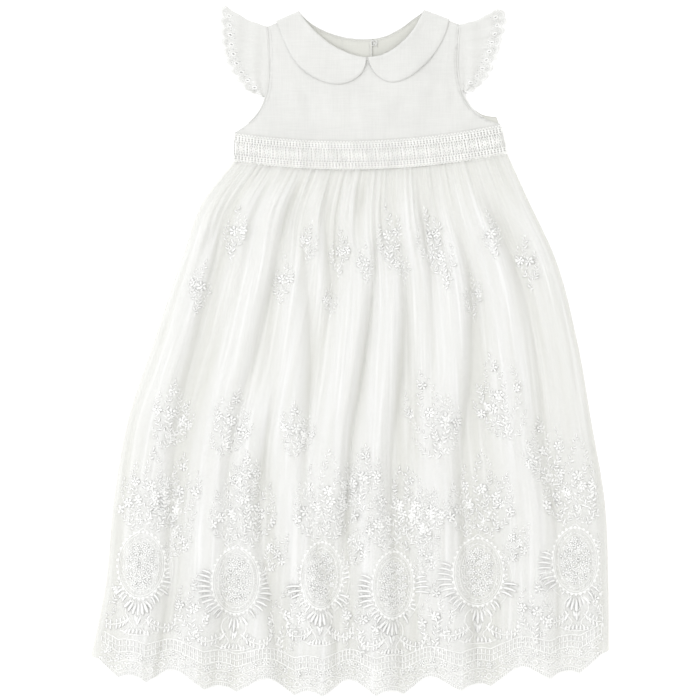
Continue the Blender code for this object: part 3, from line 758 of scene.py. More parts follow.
def new_tree(name, inputs):
    tree = bpy.data.node_groups.new(name, "GeometryNodeTree")
    tree.is_modifier = True
    keys = {}
    for label, kind in inputs:
        socket = tree.interface.new_socket(label, in_out="INPUT", socket_type=kind)
        keys[label] = socket.identifier
    tree.interface.new_socket("Geometry", in_out="OUTPUT", socket_type="NodeSocketGeometry")
    return tree, keys, tree.nodes.new("NodeGroupInput"), tree.nodes.new("NodeGroupOutput")


def finish_tree(tree, given, result, shape):
    """Every tree ends in smooth, realized geometry with its material."""
    smooth = tree.nodes.new("GeometryNodeSetShadeSmooth")
    real = tree.nodes.new("GeometryNodeRealizeInstances")
    dressed = tree.nodes.new("GeometryNodeSetMaterial")
    tree.links.new(shape, real.inputs["Geometry"])
    tree.links.new(real.outputs["Geometry"], smooth.inputs["Geometry"])
    tree.links.new(smooth.outputs["Geometry"], dressed.inputs["Geometry"])
    tree.links.new(given.outputs["Material"], dressed.inputs["Material"])
    tree.links.new(dressed.outputs["Geometry"], result.inputs["Geometry"])


def read_values(tree, name, kind):
    """The socket that gives the values of this name on the points."""
    node = tree.nodes.new("GeometryNodeInputNamedAttribute")
    node.data_type = kind
    node.inputs["Name"].default_value = name
    return node.outputs["Attribute"]


def thread_tree():
    """Threads along paths: a round section, as thick as the path's own share says."""
    tree, keys, given, result = new_tree("Threads along paths", (
        ("Geometry", "NodeSocketGeometry"), ("Radius", "NodeSocketFloat"), ("Sides", "NodeSocketInt"),
        ("Material", "NodeSocketMaterial")))
    path = tree.nodes.new("GeometryNodeMeshToCurve")
    radius = tree.nodes.new("ShaderNodeMath")
    radius.operation = "MULTIPLY"
    section = tree.nodes.new("GeometryNodeCurvePrimitiveCircle")
    section.inputs["Radius"].default_value = 1.0
    swept = tree.nodes.new("GeometryNodeCurveToMesh")
    swept.inputs["Fill Caps"].default_value = True
    link = tree.links.new
    link(given.outputs["Geometry"], path.inputs["Mesh"])
    link(read_values(tree, "thick", "FLOAT"), radius.inputs[0])
    link(given.outputs["Radius"], radius.inputs[1])
    link(given.outputs["Sides"], section.inputs["Resolution"])
    link(path.outputs["Curve"], swept.inputs["Curve"])
    link(section.outputs["Curve"], swept.inputs["Profile Curve"])
    link(radius.outputs[0], swept.inputs["Scale"])
    finish_tree(tree, given, result, swept.outputs["Mesh"])
    return tree, keys


def stitch_tree():
    """Small stitched parts set on points, each with its own turn and size."""
    tree, keys, given, result = new_tree("Stitched parts on points", (
        ("Geometry", "NodeSocketGeometry"), ("Part", "NodeSocketObject"), ("Material", "NodeSocketMaterial")))
    part = tree.nodes.new("GeometryNodeObjectInfo")
    rotation = tree.nodes.new("FunctionNodeEulerToRotation")
    placed = tree.nodes.new("GeometryNodeInstanceOnPoints")
    link = tree.links.new
    link(given.outputs["Part"], part.inputs["Object"])
    link(given.outputs["Geometry"], placed.inputs["Points"])
    link(part.outputs["Geometry"], placed.inputs["Instance"])
    link(read_values(tree, "turn", "FLOAT_VECTOR"), rotation.inputs["Euler"])
    link(rotation.outputs["Rotation"], placed.inputs["Rotation"])
    link(read_values(tree, "size", "FLOAT_VECTOR"), placed.inputs["Scale"])
    finish_tree(tree, given, result, placed.outputs["Instances"])
    return tree, keys


TREES = {}


def tree_for(kind):
    if kind not in TREES:
        TREES[kind] = thread_tree() if kind == "threads" else stitch_tree()
    return TREES[kind]


def grow(mesh, kind, values, finish):
    """Run a tree on a mesh and give back the plain mesh that it makes."""
    tree, keys = tree_for(kind)
    carrier = bpy.data.objects.new("carrier", mesh)
    bpy.context.scene.collection.objects.link(carrier)
    growth = carrier.modifiers.new("Growth", "NODES")
    growth.node_group = tree
    for label, value in {**values, "Material": finish}.items():
        growth[keys[label]] = value
    depsgraph = bpy.context.evaluated_depsgraph_get()
    grown = bpy.data.meshes.new_from_object(carrier.evaluated_get(depsgraph))
    bpy.data.objects.remove(carrier)
    bpy.data.meshes.remove(mesh)
    if not grown.polygons:
        raise RuntimeError(f"{tree.name} made nothing")
    return grown


def joined(name, meshes, finish):
    """One piece from several grown meshes."""
    points, faces, start = [], [], 0
    for mesh in meshes:
        flat = np.empty(3 * len(mesh.vertices), dtype=np.float32)
        mesh.vertices.foreach_get("co", flat)
        points.append(flat.reshape(-1, 3) / MM)
        faces.extend([[start + i for i in face.vertices] for face in mesh.polygons])
        start += len(mesh.vertices)
        bpy.data.meshes.remove(mesh)
    points = np.concatenate(points)
    points[:, 2] = np.maximum(points[:, 2], 0.0)
    return piece(name, points, faces, finish)


# Small parts of the needlework, each one unit long and wide


def strip_faces(first, count):
    """Faces of a closed domed strip with three points at each station, from its first one to its tip."""
    faces = []
    for k in range(count - 1):
        a = first + 3 * k
        b = a + 3
        faces += [(a, b, b + 1, a + 1), (a + 1, b + 1, b + 2, a + 2), (a + 2, b + 2, b, a)]
    a = first + 3 * (count - 1)
    end = a + 3
    return faces + [(end, a + 1, a), (end, a + 2, a + 1), (end, a, a + 2)]


def lens_part(name, stations):
    """A stitched leaf: pointed or round along X, domed along Z, closed below."""
    points = [(0.0, 0.0, 0.0)]
    for x, half_width in stations:
        points += [(x, -half_width, 0.0), (x, 0.0, 0.45 + 0.55 * half_width * 2), (x, half_width, 0.0)]
    points.append((1.0, 0.0, 0.0))
    return hidden_part(name, points, [(0, 1, 2), (0, 2, 3), (0, 3, 1), *strip_faces(1, len(stations))])


def frond_part(name, stations, bend):
    """A stitched frond: a domed strip that bends to its left, thick at the root and pointed at the tip."""
    points = []
    for x, half_width in stations:
        y = bend * x * x
        points += [(x, y - half_width, 0.0), (x, y, 0.3 + half_width), (x, y + half_width, 0.0)]
    points.append((1.0, bend, 0.0))
    return hidden_part(name, points, [(0, 1, 2), *strip_faces(0, len(stations))])


def dome_part(name, sides=7):
    points = [(0.5 * math.cos(2 * math.pi * k / sides), 0.5 * math.sin(2 * math.pi * k / sides), 0.0)
              for k in range(sides)]
    points += [(0.36 * math.cos(2 * math.pi * k / sides), 0.36 * math.sin(2 * math.pi * k / sides), 0.75)
               for k in range(sides)]
    points.append((0.0, 0.0, 1.0))
    faces = [tuple(range(sides))[::-1]]
    for k in range(sides):
        n = (k + 1) % sides
        faces += [(k, n, sides + n, sides + k), (sides + k, sides + n, 2 * sides)]
    return hidden_part(name, points, faces)


def ring_part(name, around=14, sides=4, thickness=0.14):
    points, faces = [], []
    for k in range(around):
        a = 2 * math.pi * k / around
        for s in range(sides):
            b = 2 * math.pi * s / sides
            r = 0.5 + thickness * math.cos(b)
            points.append((r * math.cos(a), r * math.sin(a), thickness * 2 * (math.sin(b) + 0.5)))
    for k in range(around):
        for s in range(sides):
            n, m = (k + 1) % around, (s + 1) % sides
            faces.append((k * sides + s, n * sides + s, n * sides + m, k * sides + m))
    return hidden_part(name, points, faces)


def hidden_part(name, points, faces):
    """A pattern part that only the node trees read, removed before the end."""
    mesh = bpy.data.meshes.new(name)
    mesh.from_pydata(points, [], faces)
    mesh.shade_smooth()
    made = bpy.data.objects.new(name, mesh)
    bpy.context.scene.collection.objects.link(made)
    made.hide_render = True
    return made


PARTS = {}
LENS_STATIONS = {
    # distance along and half width at each station
    "leaf": ((0.22, 0.32), (0.48, 0.5), (0.76, 0.34)),
    "petal": ((0.25, 0.20), (0.6, 0.46), (0.88, 0.36)),
    "bar": ((0.08, 0.45), (0.92, 0.45)),
}
FROND_STATIONS = ((0.0, 0.24), (0.14, 0.42), (0.38, 0.5), (0.66, 0.46), (0.9, 0.3))
FROND_BENDS = {"frond": 1.2, "mirrored frond": -1.2}


def part_for(kind):
    """The pattern part of a kind, made when it is first asked for."""
    if kind not in PARTS:
        name = f"{kind} pattern"
        if kind in LENS_STATIONS:
            PARTS[kind] = lens_part(name, LENS_STATIONS[kind])
        elif kind in FROND_BENDS:
            PARTS[kind] = frond_part(name, FROND_STATIONS, FROND_BENDS[kind])
        elif kind == "dot":
            PARTS[kind] = dome_part(name)
        else:
            PARTS[kind] = ring_part(name)
    return PARTS[kind]


THREAD_SIDES = 5


class Needlework:
    """Threads and stitched parts, gathered in plan millimetres before they are grown on a surface."""

    def __init__(self, surface, offset=0.25, facing=1.0, covers=None, relief=1.0):
        self.surface = surface
        self.relief = relief
        self.covers = covers
        self.offset = offset
        self.facing = facing
        self.threads = []
        self.parts = {}

    def thread(self, points, thick=1.0, closed=False, rise=0.0):
        line = np.asarray(points, float)
        share = np.broadcast_to(np.asarray(thick, float), (len(line),))
        if self.covers is None or self.covers(line[:, 0], line[:, 1]).all():
            self.threads.append((line, share, closed, rise))
            return
        if closed:
            line, share = np.concatenate([line, line[:1]]), np.concatenate([share, share[:1]])
        kept = self.covers(line[:, 0], line[:, 1])
        starts = np.flatnonzero(kept & ~np.concatenate([[False], kept[:-1]]))
        ends = np.flatnonzero(kept & ~np.concatenate([kept[1:], [False]]))
        for first, last in zip(starts, ends):
            if last > first:
                self.threads.append((line[first: last + 1], share[first: last + 1], False, rise))

    def part(self, kind, x, y, angle, length, width, height, rise=0.0):
        self.parts.setdefault(kind, []).append((x, y, angle, length, width, height, rise))

    def height(self, x, y):
        return self.surface(x, y) + self.facing * self.offset

    def thread_mesh(self):
        points, lines, thick, start = [], [], [], 0
        for line, share, closed, rise in self.threads:
            z = self.height(line[:, 0], line[:, 1]) + self.facing * rise if line.shape[1] == 2 else line[:, 2]
            points.append(np.column_stack([line[:, :2], z]) * MM)
            thick.append(share)
            count = len(line)
            lines += [(start + k, start + k + 1) for k in range(count - 1)]
            if closed:
                lines.append((start + count - 1, start))
            start += count
        mesh = bpy.data.meshes.new("paths")
        mesh.from_pydata(np.concatenate(points).tolist(), lines, [])
        point_values(mesh, "thick", np.concatenate(thick))
        return mesh

    def part_mesh(self, kind):
        rows = np.array(self.parts[kind], float)
        if self.covers is not None:
            tips = rows[:, :2] + rows[:, 3:4] * np.column_stack([np.cos(rows[:, 2]), np.sin(rows[:, 2])])
            rows = rows[self.covers(rows[:, 0], rows[:, 1]) & self.covers(tips[:, 0], tips[:, 1])]
        x, y, angle, length, width, height, rise = rows.T
        step = 0.6
        z = self.height(x, y)
        slope_x = (self.height(x + step, y) - self.height(x - step, y)) / (2 * step)
        slope_y = (self.height(x, y + step) - self.height(x, y - step)) / (2 * step)
        up = np.column_stack([-slope_x, -slope_y, np.ones_like(z)]) * self.facing
        up /= np.linalg.norm(up, axis=1, keepdims=True)
        across_way, up_way = np.cos(angle), np.sin(angle)
        way = np.column_stack([across_way, up_way, slope_x * across_way + slope_y * up_way])
        stretch = np.linalg.norm(way, axis=1)
        way /= stretch[:, None]
        side = np.cross(up, way)
        turn = np.column_stack([
            np.arctan2(side[:, 2], up[:, 2]),
            -np.arcsin(np.clip(way[:, 2], -1.0, 1.0)),
            np.arctan2(way[:, 1], way[:, 0]),
        ])
        size = np.column_stack([length * np.minimum(stretch, 1.6), width, height * self.relief]) * MM
        mesh = bpy.data.meshes.new("points")
        mesh.from_pydata((np.column_stack([x, y, z + self.facing * rise]) * MM).tolist(), [], [])
        for label, values in (("turn", turn), ("size", size)):
            point_values(mesh, label, values, "FLOAT_VECTOR", "vector")
        return mesh

    def grow(self, name, finish, radius):
        meshes = []
        if self.threads:
            section = {"Radius": radius * self.relief, "Sides": THREAD_SIDES}
            meshes.append(grow(self.thread_mesh(), "threads", section, finish))
        for kind in self.parts:
            meshes.append(grow(self.part_mesh(kind), "parts", {"Part": part_for(kind)}, finish))
        return joined(name, meshes, finish)


# Materials


class Shade:
    """A short way to write a material's nodes."""

    def __init__(self, name, colour, roughness):
        self.material = bpy.data.materials.new(name)
        self.material.use_nodes = True
        self.tree = self.material.node_tree
        self.shader = self.tree.nodes["Principled BSDF"]
        self.shader.inputs["Base Color"].default_value = (*colour, 1.0)
        self.shader.inputs["Roughness"].default_value = roughness
        self.material.diffuse_color = (*colour, 1.0)

    def node(self, kind, values=None, **facts):
        made = self.tree.nodes.new(kind)
        for key, value in facts.items():
            setattr(made, key, value)
        for key, value in (values or {}).items():
            made.inputs[key].default_value = value
        return made

    def link(self, a, b):
        self.tree.links.new(a, b)

    def give(self, name, value):
        self.shader.inputs[name].default_value = value

    def place(self, cloth=False):
        if cloth:
            return self.node("ShaderNodeUVMap", uv_map="cloth").outputs["UV"]
        return self.node("ShaderNodeTexCoord").outputs["Object"]

    def scaled(self, place, scale, turn=0.0):
        mapping = self.node("ShaderNodeMapping", {"Scale": scale, "Rotation": (0.0, 0.0, turn)})
        self.link(place, mapping.inputs["Vector"])
        return mapping.outputs["Vector"]

    def noise(self, place, scale, detail=3.0):
        made = self.node("ShaderNodeTexNoise", {"Scale": scale, "Detail": detail})
        self.link(place, made.inputs["Vector"])
        return made.outputs["Fac"]

    def waves(self, place, scale, direction):
        made = self.node("ShaderNodeTexWave", {"Scale": scale, "Distortion": 0.6, "Detail": 1.0},
                         wave_type="BANDS", bands_direction=direction, wave_profile="SIN")
        self.link(place, made.inputs["Vector"])
        return made.outputs["Fac"]

    def maths(self, operation, a, b):
        made = self.node("ShaderNodeMath", operation=operation)
        for socket, value in zip(made.inputs, (a, b)):
            if isinstance(value, (int, float)):
                socket.default_value = value
            else:
                self.link(value, socket)
        return made.outputs[0]

    def span(self, value, low, high, to_low, to_high):
        made = self.node("ShaderNodeMapRange", {
            "From Min": low, "From Max": high, "To Min": to_low, "To Max": to_high}, clamp=True)
        self.link(value, made.inputs["Value"])
        return made.outputs["Result"]

    def tint(self, value, dark, light):
        """A colour between two, picked by a value from 0 to 1."""
        ramp = self.node("ShaderNodeValToRGB")
        ramp.color_ramp.elements[0].color = (*dark, 1.0)
        ramp.color_ramp.elements[1].color = (*light, 1.0)
        self.link(value, ramp.inputs["Fac"])
        self.link(ramp.outputs["Color"], self.shader.inputs["Base Color"])

    def bump(self, height, strength, distance):
        made = self.node("ShaderNodeBump", {"Strength": strength, "Distance": distance})
        self.link(height, made.inputs["Height"])
        self.link(made.outputs["Normal"], self.shader.inputs["Normal"])


def shaded(colour, share, blue=1.0):
    """A colour made darker or lighter, with more or less blue."""
    red, green, last = colour
    return tuple(min(1.0, c * share) for c in (red, green, last * blue))


def woven(name, colour, pitch, slub=0.05, cloth=False, relief=0.6):
    """Plain weave: warp and weft threads, with slubs that run along them."""
    shade = Shade(name, colour, 0.88)
    place = shade.place(cloth)
    warp, weft = [shade.waves(place, 0.5 / pitch, direction) for direction in "XY"]
    weave = shade.maths("MAXIMUM", warp, weft)
    along = shade.noise(shade.scaled(place, (60.0, 900.0, 60.0)), 1.0, 4.0)
    up = shade.noise(shade.scaled(place, (900.0, 60.0, 60.0)), 1.0, 4.0)
    slubs = shade.maths("MULTIPLY", shade.maths("ADD", along, up), 0.5)
    cloudy = shade.noise(place, 22.0, 2.0)
    value = shade.maths("ADD", shade.maths("MULTIPLY", slubs, 0.6), shade.maths("MULTIPLY", cloudy, 0.4))
    clouds = shade.span(value, 0.34, 0.66, 0.0, 1.0)
    shade.tint(clouds, shaded(colour, 1 - slub), shaded(colour, 1 + slub * 0.5))
    shade.bump(shade.maths("ADD", weave, shade.maths("MULTIPLY", slubs, 1.2)), relief, 0.00012)
    shade.give("Sheen Weight", 0.15)
    shade.give("Specular IOR Level", 0.2)
    return shade.material


def netting(name, colour, pitch, clear=0.45):
    """Fine net: thin threads round small cells that light passes through."""
    shade = Shade(name, colour, 0.8)
    place = shade.place(cloth=True)
    cells = shade.node("ShaderNodeTexVoronoi", {"Scale": 1.0 / pitch, "Randomness": 0.5},
                       feature="DISTANCE_TO_EDGE", voronoi_dimensions="2D")
    shade.link(place, cells.inputs["Vector"])
    thread = shade.span(cells.outputs["Distance"], 0.13, 0.22, 1.0, clear)
    cloudy = shade.noise(shade.scaled(place, (90.0, 12.0, 12.0)), 1.0, 3.0)
    streaks = shade.noise(shade.scaled(place, (150.0, 7.0, 7.0)), 1.0, 1.5)
    doubled = shade.span(streaks, 0.46, 0.70, clear * 0.8, clear + 0.22)
    shade.link(shade.maths("MAXIMUM", thread, doubled), shade.shader.inputs["Alpha"])
    # Partly the net doubled on its folds, partly painted light: where the folds stand high the net is lighter
    # and bluer, and where they sink it is darker and warmer. This is a painted highlight on the crests and
    # painted shade in the valleys.
    fullness = shade.node("ShaderNodeAttribute", attribute_name="fullness").outputs["Fac"]
    clouds = shade.span(cloudy, 0.3, 0.7, 0.0, 0.3)
    value = shade.maths("ADD", clouds, shade.span(streaks, 0.4, 0.7, 0.0, 0.25))
    value = shade.maths("ADD", value, shade.maths("MULTIPLY", fullness, 0.5))
    # The darker, warmer end is painted shade for the valleys. The lighter, bluer end is painted highlight for
    # the crests, partly net doubled on its folds.
    shade.tint(value, shaded(colour, 0.985, 0.98), shaded(colour, 1.12, 1.03))
    shade.bump(cells.outputs["Distance"], 0.4, -0.0001)
    shade.give("Specular IOR Level", 0.2)
    return shade.material


def threads(name, colour, run=1500.0, relief=0.5):
    """Cotton thread: fine strands that catch a little light."""
    shade = Shade(name, colour, 0.55)
    place = shade.place()
    strands = shade.noise(shade.scaled(place, (run, run, run)), 1.0, 2.0)
    cloudy = shade.noise(place, 90.0, 2.0)
    shade.tint(shade.span(cloudy, 0.35, 0.65, 0.0, 1.0), shaded(colour, 0.95), shaded(colour, 1.03))
    shade.bump(strands, relief, 0.00015)
    shade.give("Sheen Weight", 0.25)
    shade.give("Specular IOR Level", 0.35)
    return shade.material


def pearly(name, colour):
    """Pearl: soft bands of light under a clear gloss."""
    shade = Shade(name, colour, 0.22)
    place = shade.place()
    bands = shade.noise(shade.scaled(place, (160.0, 420.0, 300.0), 0.6), 1.0, 3.0)
    shade.tint(shade.span(bands, 0.35, 0.65, 0.0, 1.0), shaded(colour, 0.9), shaded(colour, 1.08))
    shade.bump(bands, 0.15, 0.0002)
    shade.give("Coat Weight", 0.6)
    return shade.material


FINISHES = {}


def finish_for(kind):
    if kind not in FINISHES:
        cloth, colours, _ = settings()
        makers = {
            "cotton": lambda: woven("fine cotton", colours.cotton, 0.00042, 0.07),
            "lining": lambda: woven("lining cotton", colours.lining, 0.00036, 0.03, True, 0.15),
            "net": lambda: netting("cotton net", colours.net, cloth.net_pitch),
            "embroidery": lambda: threads("satin stitch", colours.embroidery),
            "crochet": lambda: threads("crochet thread", colours.crochet, 1100.0, 0.7),
            # Painted shade: a darker, warmer cotton for the backs' upper faces, which lie in shade inside the
            # neck.
            "inside": lambda: woven("inside of the cotton", shaded(colours.cotton, 0.92, 0.96), 0.00042),
            "eyelet": lambda: woven("eyelet cotton", colours.cotton, 0.0004, 0.04),
            "stitch": lambda: threads("sewing thread", colours.cotton, 1900.0),
            "pearl": lambda: pearly("pearl", colours.pearl),
        }
        FINISHES[kind] = makers[kind]()
    return FINISHES[kind]


def flat_area(made, layers=1):
    """A piece's own area in square metres, one layer of it."""
    mesh = made.data
    areas = np.empty(len(mesh.polygons), dtype=np.float32)
    mesh.polygons.foreach_get("area", areas)
    return float(areas.sum()) / layers


def cut_sheet(made, width, length, layers=1):
    """The area that a sheet's cloth covers, at most its cut of width by length; nothing uses it."""
    area = min(flat_area(made, layers), width * length)


# The skirt


def net_grid(rows, columns, surface):
    """Rows of places from the waist to the scalloped hem."""
    v = np.linspace(0.0, 1.0, rows) ** 0.96
    u = across(np.linspace(0.0, REPEATS, columns))
    uu, vv = np.meshgrid(u, v)
    x, y = skirt_place(uu, vv)
    nibs = HEM_NIB_HEIGHT * np.abs(np.sin(repeats_at(uu) * math.pi * HEM_NIBS))
    drop = (scallop_drop(repeats_at(uu)) + nibs) * ease(vv, SCALLOP_START, 1.0)
    y = y - drop
    places = np.stack([uu * NET_HALF_CUT, -vv * NET_CUT_LENGTH - drop], axis=-1)
    return np.stack([x, y, surface(x, y)], axis=-1), places


class GOWN_OT_skirt_net(bpy.types.Operator):
    """Make the net of the skirt's front and back"""

    bl_idname = "gown.skirt_net"
    bl_label = "Skirt net"

    def execute(self, context):
        cloth, _, _ = settings()
        grid, places = net_grid(cloth.net_rows, cloth.net_columns, net_surface)
        x, y = grid[..., 0], grid[..., 1]
        # How high the net stands above its valleys, which the net's colour reads. This is partly net doubled
        # on its folds, partly painted highlight on the crests and painted shade in the valleys.
        relief = grid[..., 2] - skirt_level(*place_on_skirt(x, y))
        fullness = np.clip(relief / 8.0, 0.0, 1.0)
        fullness = np.concatenate([fullness[:, :1], fullness, fullness[:, -1:]], axis=1)
        left, right = grid[:, :1].copy(), grid[:, -1:].copy()
        left[..., 0] -= 0.4
        right[..., 0] += 0.4
        left[..., 2] = right[..., 2] = NET_BACK_Z + 0.2
        grid = np.concatenate([left, grid, right], axis=1)
        places = np.concatenate([places[:, :1] - (1.2, 0.0), places, places[:, -1:] + (1.2, 0.0)], axis=1)
        front = grid_piece("skirt_net_front_cloth", grid, places, finish_for("net"))
        point_values(front.data, "fullness", fullness)
        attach(front, "root")
        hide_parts("skirt_net_front")
        cut_sheet(front, 0.60, 0.53)

        grid, places = net_grid(40, 145, level(BACK_LACE_Z))
        back = grid_piece("skirt_net_back_cloth", grid, places, finish_for("net"), flip=True)
        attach(back, "root")
        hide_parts("skirt_net_back")
        cut_sheet(back, 0.50, 0.52)
        return {"FINISHED"}


class GOWN_OT_skirt_lining(bpy.types.Operator):
    """Make the cotton lining inside the skirt"""

    bl_idname = "gown.skirt_lining"
    bl_label = "Skirt lining"

    def execute(self, context):
        v = np.linspace(0.0, LINING_HEM, 110)
        u = np.linspace(-1.0, 1.0, 150)
        uu, vv = np.meshgrid(u, v)
        uu = uu * (1 - LINING_INSET / skirt_half_width(vv))
        x, y = skirt_place(uu, vv)
        places = np.stack([uu * 260.0, -vv * 470.0], axis=-1)
        grid = np.stack([x, y, lining_front_z(x, y)], axis=-1)
        front = grid_piece("skirt_lining_front_cloth", grid, places, finish_for("lining"))
        thicken(front, LINING_WALL)
        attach(front, "root")
        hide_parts("skirt_lining_front")
        cut_sheet(front, 0.56, 0.49, 2)

        grid = np.stack([x, y, np.full_like(x, LINING_BACK_Z)], axis=-1)[::3, ::4]
        back = grid_piece("skirt_lining_back_cloth", grid, places[::3, ::4], finish_for("lining"), flip=True)
        thicken(back, LINING_WALL)
        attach(back, "root")
        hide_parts("skirt_lining_back")
        cut_sheet(back, 0.50, 0.48, 2)
        return {"FINISHED"}


# Embroidery


def turned(points, x, y, turn, mirror=1):
    """Local points (right, up) set at x, y and turned."""
    local = np.atleast_2d(np.asarray(points, float)) * (mirror, 1)
    c, s = math.cos(turn), math.sin(turn)
    return np.column_stack([x + local[:, 0] * c - local[:, 1] * s, y + local[:, 0] * s + local[:, 1] * c])


def skirt_lean(x, y):
    """The turn that points a motif up along the skirt towards the waist."""
    u, v = skirt_uv(np.array([x]), np.array([y]))
    above_x, above_y = skirt_place(u, v - 0.04)
    below_x, below_y = skirt_place(u, v + 0.04)
    return math.atan2(float(above_y[0] - below_y[0]), float(above_x[0] - below_x[0])) - math.pi / 2


def flower(work, x, y, size, turn=0.0, petals=5):
    """Broad petals that meet about a raised middle of small knots."""
    for k in range(petals):
        angle = turn + 2 * math.pi * k / petals
        work.part("petal", x + 0.06 * size * math.cos(angle), y + 0.06 * size * math.sin(angle), angle,
                  size * 0.5, size * 0.54, 0.30)
    work.part("dot", x, y, 0.0, size * 0.26, size * 0.26, 0.55)


def stem(work, points, thick=0.7, leaves=0, leaf=5.0, mirror=1, skip=0.06):
    """A curved stem with leaves on alternate sides and one at its tip."""
    line = smooth_line(points, max(4, int(np.linalg.norm(np.diff(points, axis=0), axis=1).sum() / 2.6)))
    work.thread(line, np.linspace(1.0, 0.6, len(line)) * thick)
    for k in range(leaves):
        share = skip + (1 - skip) * (k + 0.5) / leaves
        i = min(len(line) - 2, int(share * (len(line) - 1)))
        way = math.atan2(line[i + 1, 1] - line[i, 1], line[i + 1, 0] - line[i, 0])
        side = mirror * (1 if k % 2 else -1)
        length = leaf * (1.0 - 0.3 * share) * (0.88 + 0.24 * ((k * GOLDEN_SHARE) % 1.0))
        work.part("leaf", line[i, 0], line[i, 1], way + side * (0.62 + 0.3 * ((k * 0.37) % 1.0)), length,
                  length * 0.50, 0.34)
    way = math.atan2(line[-1, 1] - line[-2, 1], line[-1, 0] - line[-2, 0])
    work.part("leaf", line[-1, 0], line[-1, 1], way, leaf * 0.8, leaf * 0.36, 0.34)


SPRAY_STEMS = (
    # points as shares of the height (right, up), leaves, leaf length as a share, added length
    (((0.0, 0.0), (0.03, 0.3), (-0.05, 0.62), (0.02, 0.96)), 15, 0.11, 3.0),
    (((0.01, 0.12), (0.14, 0.28), (0.21, 0.52), (0.19, 0.66)), 10, 0.10, 2.6),
    (((0.0, 0.26), (-0.13, 0.4), (-0.20, 0.6), (-0.17, 0.78)), 10, 0.10, 2.6),
    (((0.0, 0.48), (0.09, 0.58), (0.12, 0.78), (0.08, 0.9)), 7, 0.09, 2.2),
    (((0.0, 0.06), (-0.10, 0.14), (-0.19, 0.30)), 6, 0.09, 2.2),
)
SPRAY_FLOWERS = (
    # right, up and size as shares of the height
    (0.03, 0.55, 0.15),
    (-0.16, 0.58, 0.12),
    (0.19, 0.46, 0.13),
    (0.02, 0.84, 0.11),
    (-0.08, 0.30, 0.12),
    (0.10, 0.20, 0.10),
    (0.12, 0.70, 0.09),
)


def spray(work, x, y, height, turn, mirror=1, flowers=3, stems=5, slim=1.0):
    """A leafy branching spray with a few flowers."""
    for points, leaves, share, added in SPRAY_STEMS[:stems]:
        placed = turned(np.array(points) * (height * slim, height), x, y, turn, mirror)
        count = max(3, round(leaves * min(1.55, height / 46)))
        stem(work, placed, 0.85, count, share * min(height, 64.0) * 0.52 + added * 0.86, mirror)
    for right, up, size in SPRAY_FLOWERS[:flowers]:
        (px, py), = turned([(right * height * slim, up * height)], x, y, turn, mirror)
        petals = 5 + round(right * 20) % 2
        flower(work, px, py, size * min(height, 56.0) * 0.7 + 3.2, turn + up * 9, petals)


FRONDS = 11
FLOWER_ROWS = (
    # flowers, where the row lies as a share of the oval, size
    (15, 0.93, 5.6),
    (11, 0.68, 5.8),
    (7, 0.41, 5.6),
    (1, 0.0, 6.4),
)
SCROLL = ((7.0, -50.0), (14.0, -55.0), (22.5, -58.0), (31.0, -57.5), (37.0, -51.0), (36.0, -43.5))
SPINE = ((26.5, 12.0), (30.5, 0.0), (29.5, -13.0), (23.0, -26.0), (14.0, -35.0))
VASE_SIDE = (
    (4.5, -33.0), (11.0, -39.0), (12.0, -46.0), (8.0, -53.0), (4.4, -57.5), (7.0, -62.0), (13.0, -64.5),
)


